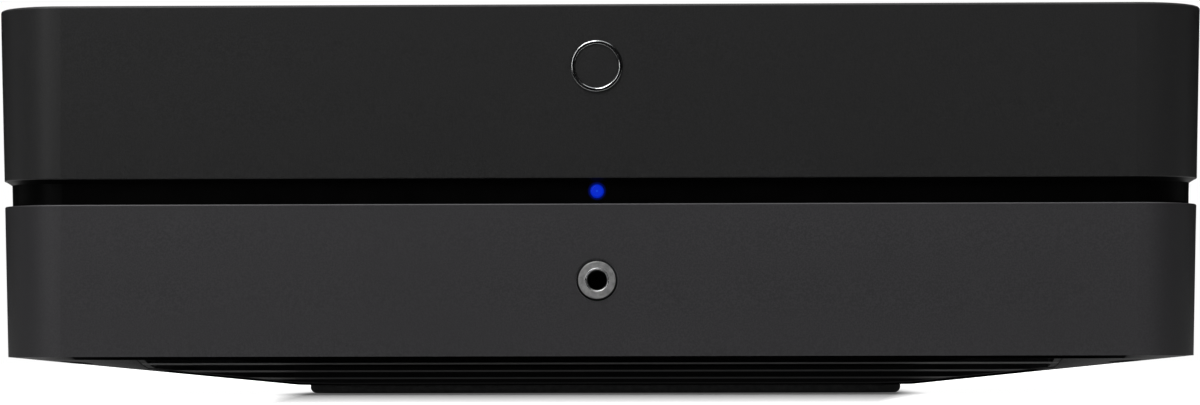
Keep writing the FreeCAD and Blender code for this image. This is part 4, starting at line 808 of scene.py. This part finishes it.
# Painted shadow: the glow is held back under and in front of the case, and beside it in reflections.
clear_white = beyond_front
for level in (beyond_side, behind_case, far_away, least_glow):
    clear_white = worked(nodes, links, "MAXIMUM", clear_white, level)
matt = nodes.new("ShaderNodeBsdfDiffuse")
paper = speckle(nodes, links, 0.002, 3.0)
# Painted shadow: the paper is darker round the foot.
shadow_paper = blended(nodes, links, paper, (0.26, 0.26, 0.26), (0.28, 0.28, 0.28))
clean_paper = blended(nodes, links, paper, (0.80, 0.80, 0.80), (0.84, 0.84, 0.84))
out_of_shadow = spread(nodes, links, along, 0.0, 1.0, paper_shadow_to, paper_clean_from)
links.new(blended(nodes, links, out_of_shadow, shadow_paper, clean_paper), matt.inputs["Color"])
white = nodes.new("ShaderNodeEmission")
links.new(clear_white, white.inputs["Strength"])
both = nodes.new("ShaderNodeAddShader")
links.new(matt.outputs["BSDF"], both.inputs[0])
links.new(white.outputs["Emission"], both.inputs[1])
shown = nodes.new("ShaderNodeMixShader")
links.new(seen_by(nodes, links, *eye_rays), shown.inputs["Fac"])
links.new(matt.outputs["BSDF"], shown.inputs[1])
links.new(both.outputs["Shader"], shown.inputs[2])
open_below = nodes.new("ShaderNodeMixShader")
links.new(geometry.outputs["Backfacing"], open_below.inputs["Fac"])
links.new(shown.outputs["Shader"], open_below.inputs[1])
links.new(nodes.new("ShaderNodeBsdfTransparent").outputs["BSDF"], open_below.inputs[2])
links.new(open_below.outputs["Shader"], nodes.new("ShaderNodeOutputMaterial").inputs["Surface"])
table.data.materials.append(table_white)


# Dark flags: black cloth in front and at the sides, two tall cards beside the case, and
# black sheets laid on the table. They're mirrored in the matt faces and the groove and
# keep them dark, and are out of sight otherwise.
flag_cloth, nodes, links, shader = wired("flag_cloth")
links.new(blended(nodes, links, speckle(nodes, links, 0.01, 2.0), (0.002, 0.002, 0.002),
                  (0.004, 0.004, 0.004)), shader.inputs["Base Color"])
shader.inputs["Roughness"].default_value = 1.0
shader.inputs["Specular IOR Level"].default_value = 0.0


def flag(name, centre, right, up):
    piece = bmesh.new()
    piece.faces.new([piece.verts.new([centre[i] + a * right[i] + b * up[i] for i in range(3)])
                     for a, b in ((-1, -1), (1, -1), (1, 1), (-1, 1))])
    mesh = bpy.data.meshes.new(name)
    piece.to_mesh(mesh)
    piece.free()
    cloth = bpy.data.objects.new(name, mesh)
    cloth.data.materials.append(flag_cloth)
    bpy.context.scene.collection.objects.link(cloth)
    cloth.visible_camera = False
    cloth.visible_diffuse = False
    cloth.visible_shadow = False
    cloth.visible_transmission = False


flag("front_flag", (0.0, -2.4, 2.0), (2.4, 0.0, 0.0), (0.0, 0.0, 2.0))
flag("left_flag", (-2.4, -0.1, 2.0), (0.0, 2.3, 0.0), (0.0, 0.0, 2.0))
flag("right_flag", (2.4, -0.1, 2.0), (0.0, 2.3, 0.0), (0.0, 0.0, 2.0))
flag("table_flag", (0.0, -1.26, 0.0004), (2.4, 0.0, 0.0), (0.0, 1.14, 0.0))
flag("left_card", (-0.36, 1.55, 0.60), (0.0, 1.45, 0.0), (0.0, 0.0, 0.60))
flag("right_card", (0.36, 1.55, 0.60), (0.0, 1.45, 0.0), (0.0, 0.0, 0.60))
flag("rear_table_flag", (0.0, 1.52, 0.0004), (2.4, 0.0, 0.0), (0.0, 1.40, 0.0))


# Lamps: a tall, narrow softbox at the front left, a strong wide one above the front and a
# weaker one high behind, which give the soft band on the left corner and light the top edges,
# where the shells also carry a painted highlight.
lit_point = (0.0, 0.0, 0.03)


def softbox(name, place, size, power):
    light = bpy.data.lights.new(name, "AREA")
    light.shape = "RECTANGLE"
    light.size, light.size_y = size
    light.energy = power
    lamp = bpy.data.objects.new(name, light)
    lamp.location = place
    away = [place[i] - lit_point[i] for i in range(3)]
    flat_way = math.hypot(away[0], away[1])
    lamp.rotation_euler = (math.atan2(flat_way, away[2]), 0.0, math.atan2(away[0], -away[1]))
    bpy.context.scene.collection.objects.link(lamp)


softbox("left_softbox", (-0.72, -1.02, 0.40), (0.24, 0.8), 1.5)
softbox("overhead_softbox", (-0.45, -0.85, 1.20), (0.9, 0.6), 10.5)
softbox("rear_softbox", (0.2, 1.60, 1.20), (1.4, 0.7), 6.0)


# Room: white walls all round, seen directly and in gloss and glass. The light that they
# throw on matt surfaces is grey, and weaker from the sides than from front and back.
light_from_front, light_from_side = 0.78, 0.12
room = bpy.data.worlds.new("white_room")
bpy.context.scene.world = room
room.use_nodes = True
nodes, links = room.node_tree.nodes, room.node_tree.links
nodes.clear()
even = nodes.new("ShaderNodeBackground")
wall = nodes.new("ShaderNodeBackground")
for background in (even, wall):
    background.inputs["Color"].default_value = (1.0, 1.0, 1.0, 1.0)
direction = nodes.new("ShaderNodeTexCoord")
sideways = nodes.new("ShaderNodeSeparateXYZ")
links.new(direction.outputs["Generated"], sideways.inputs["Vector"])
aside = worked(nodes, links, "ABSOLUTE", sideways.outputs["X"], 0.0)
links.new(spread(nodes, links, aside, light_from_front, light_from_side, 0.35, 0.95),
          even.inputs["Strength"])
wall.inputs["Strength"].default_value = 1.0
shown = nodes.new("ShaderNodeMixShader")
links.new(seen_by(nodes, links, *eye_rays), shown.inputs["Fac"])
links.new(even.outputs["Background"], shown.inputs[1])
links.new(wall.outputs["Background"], shown.inputs[2])
links.new(shown.outputs["Shader"], nodes.new("ShaderNodeOutputWorld").inputs["Surface"])

bpy.context.scene.view_settings.view_transform = "Standard"
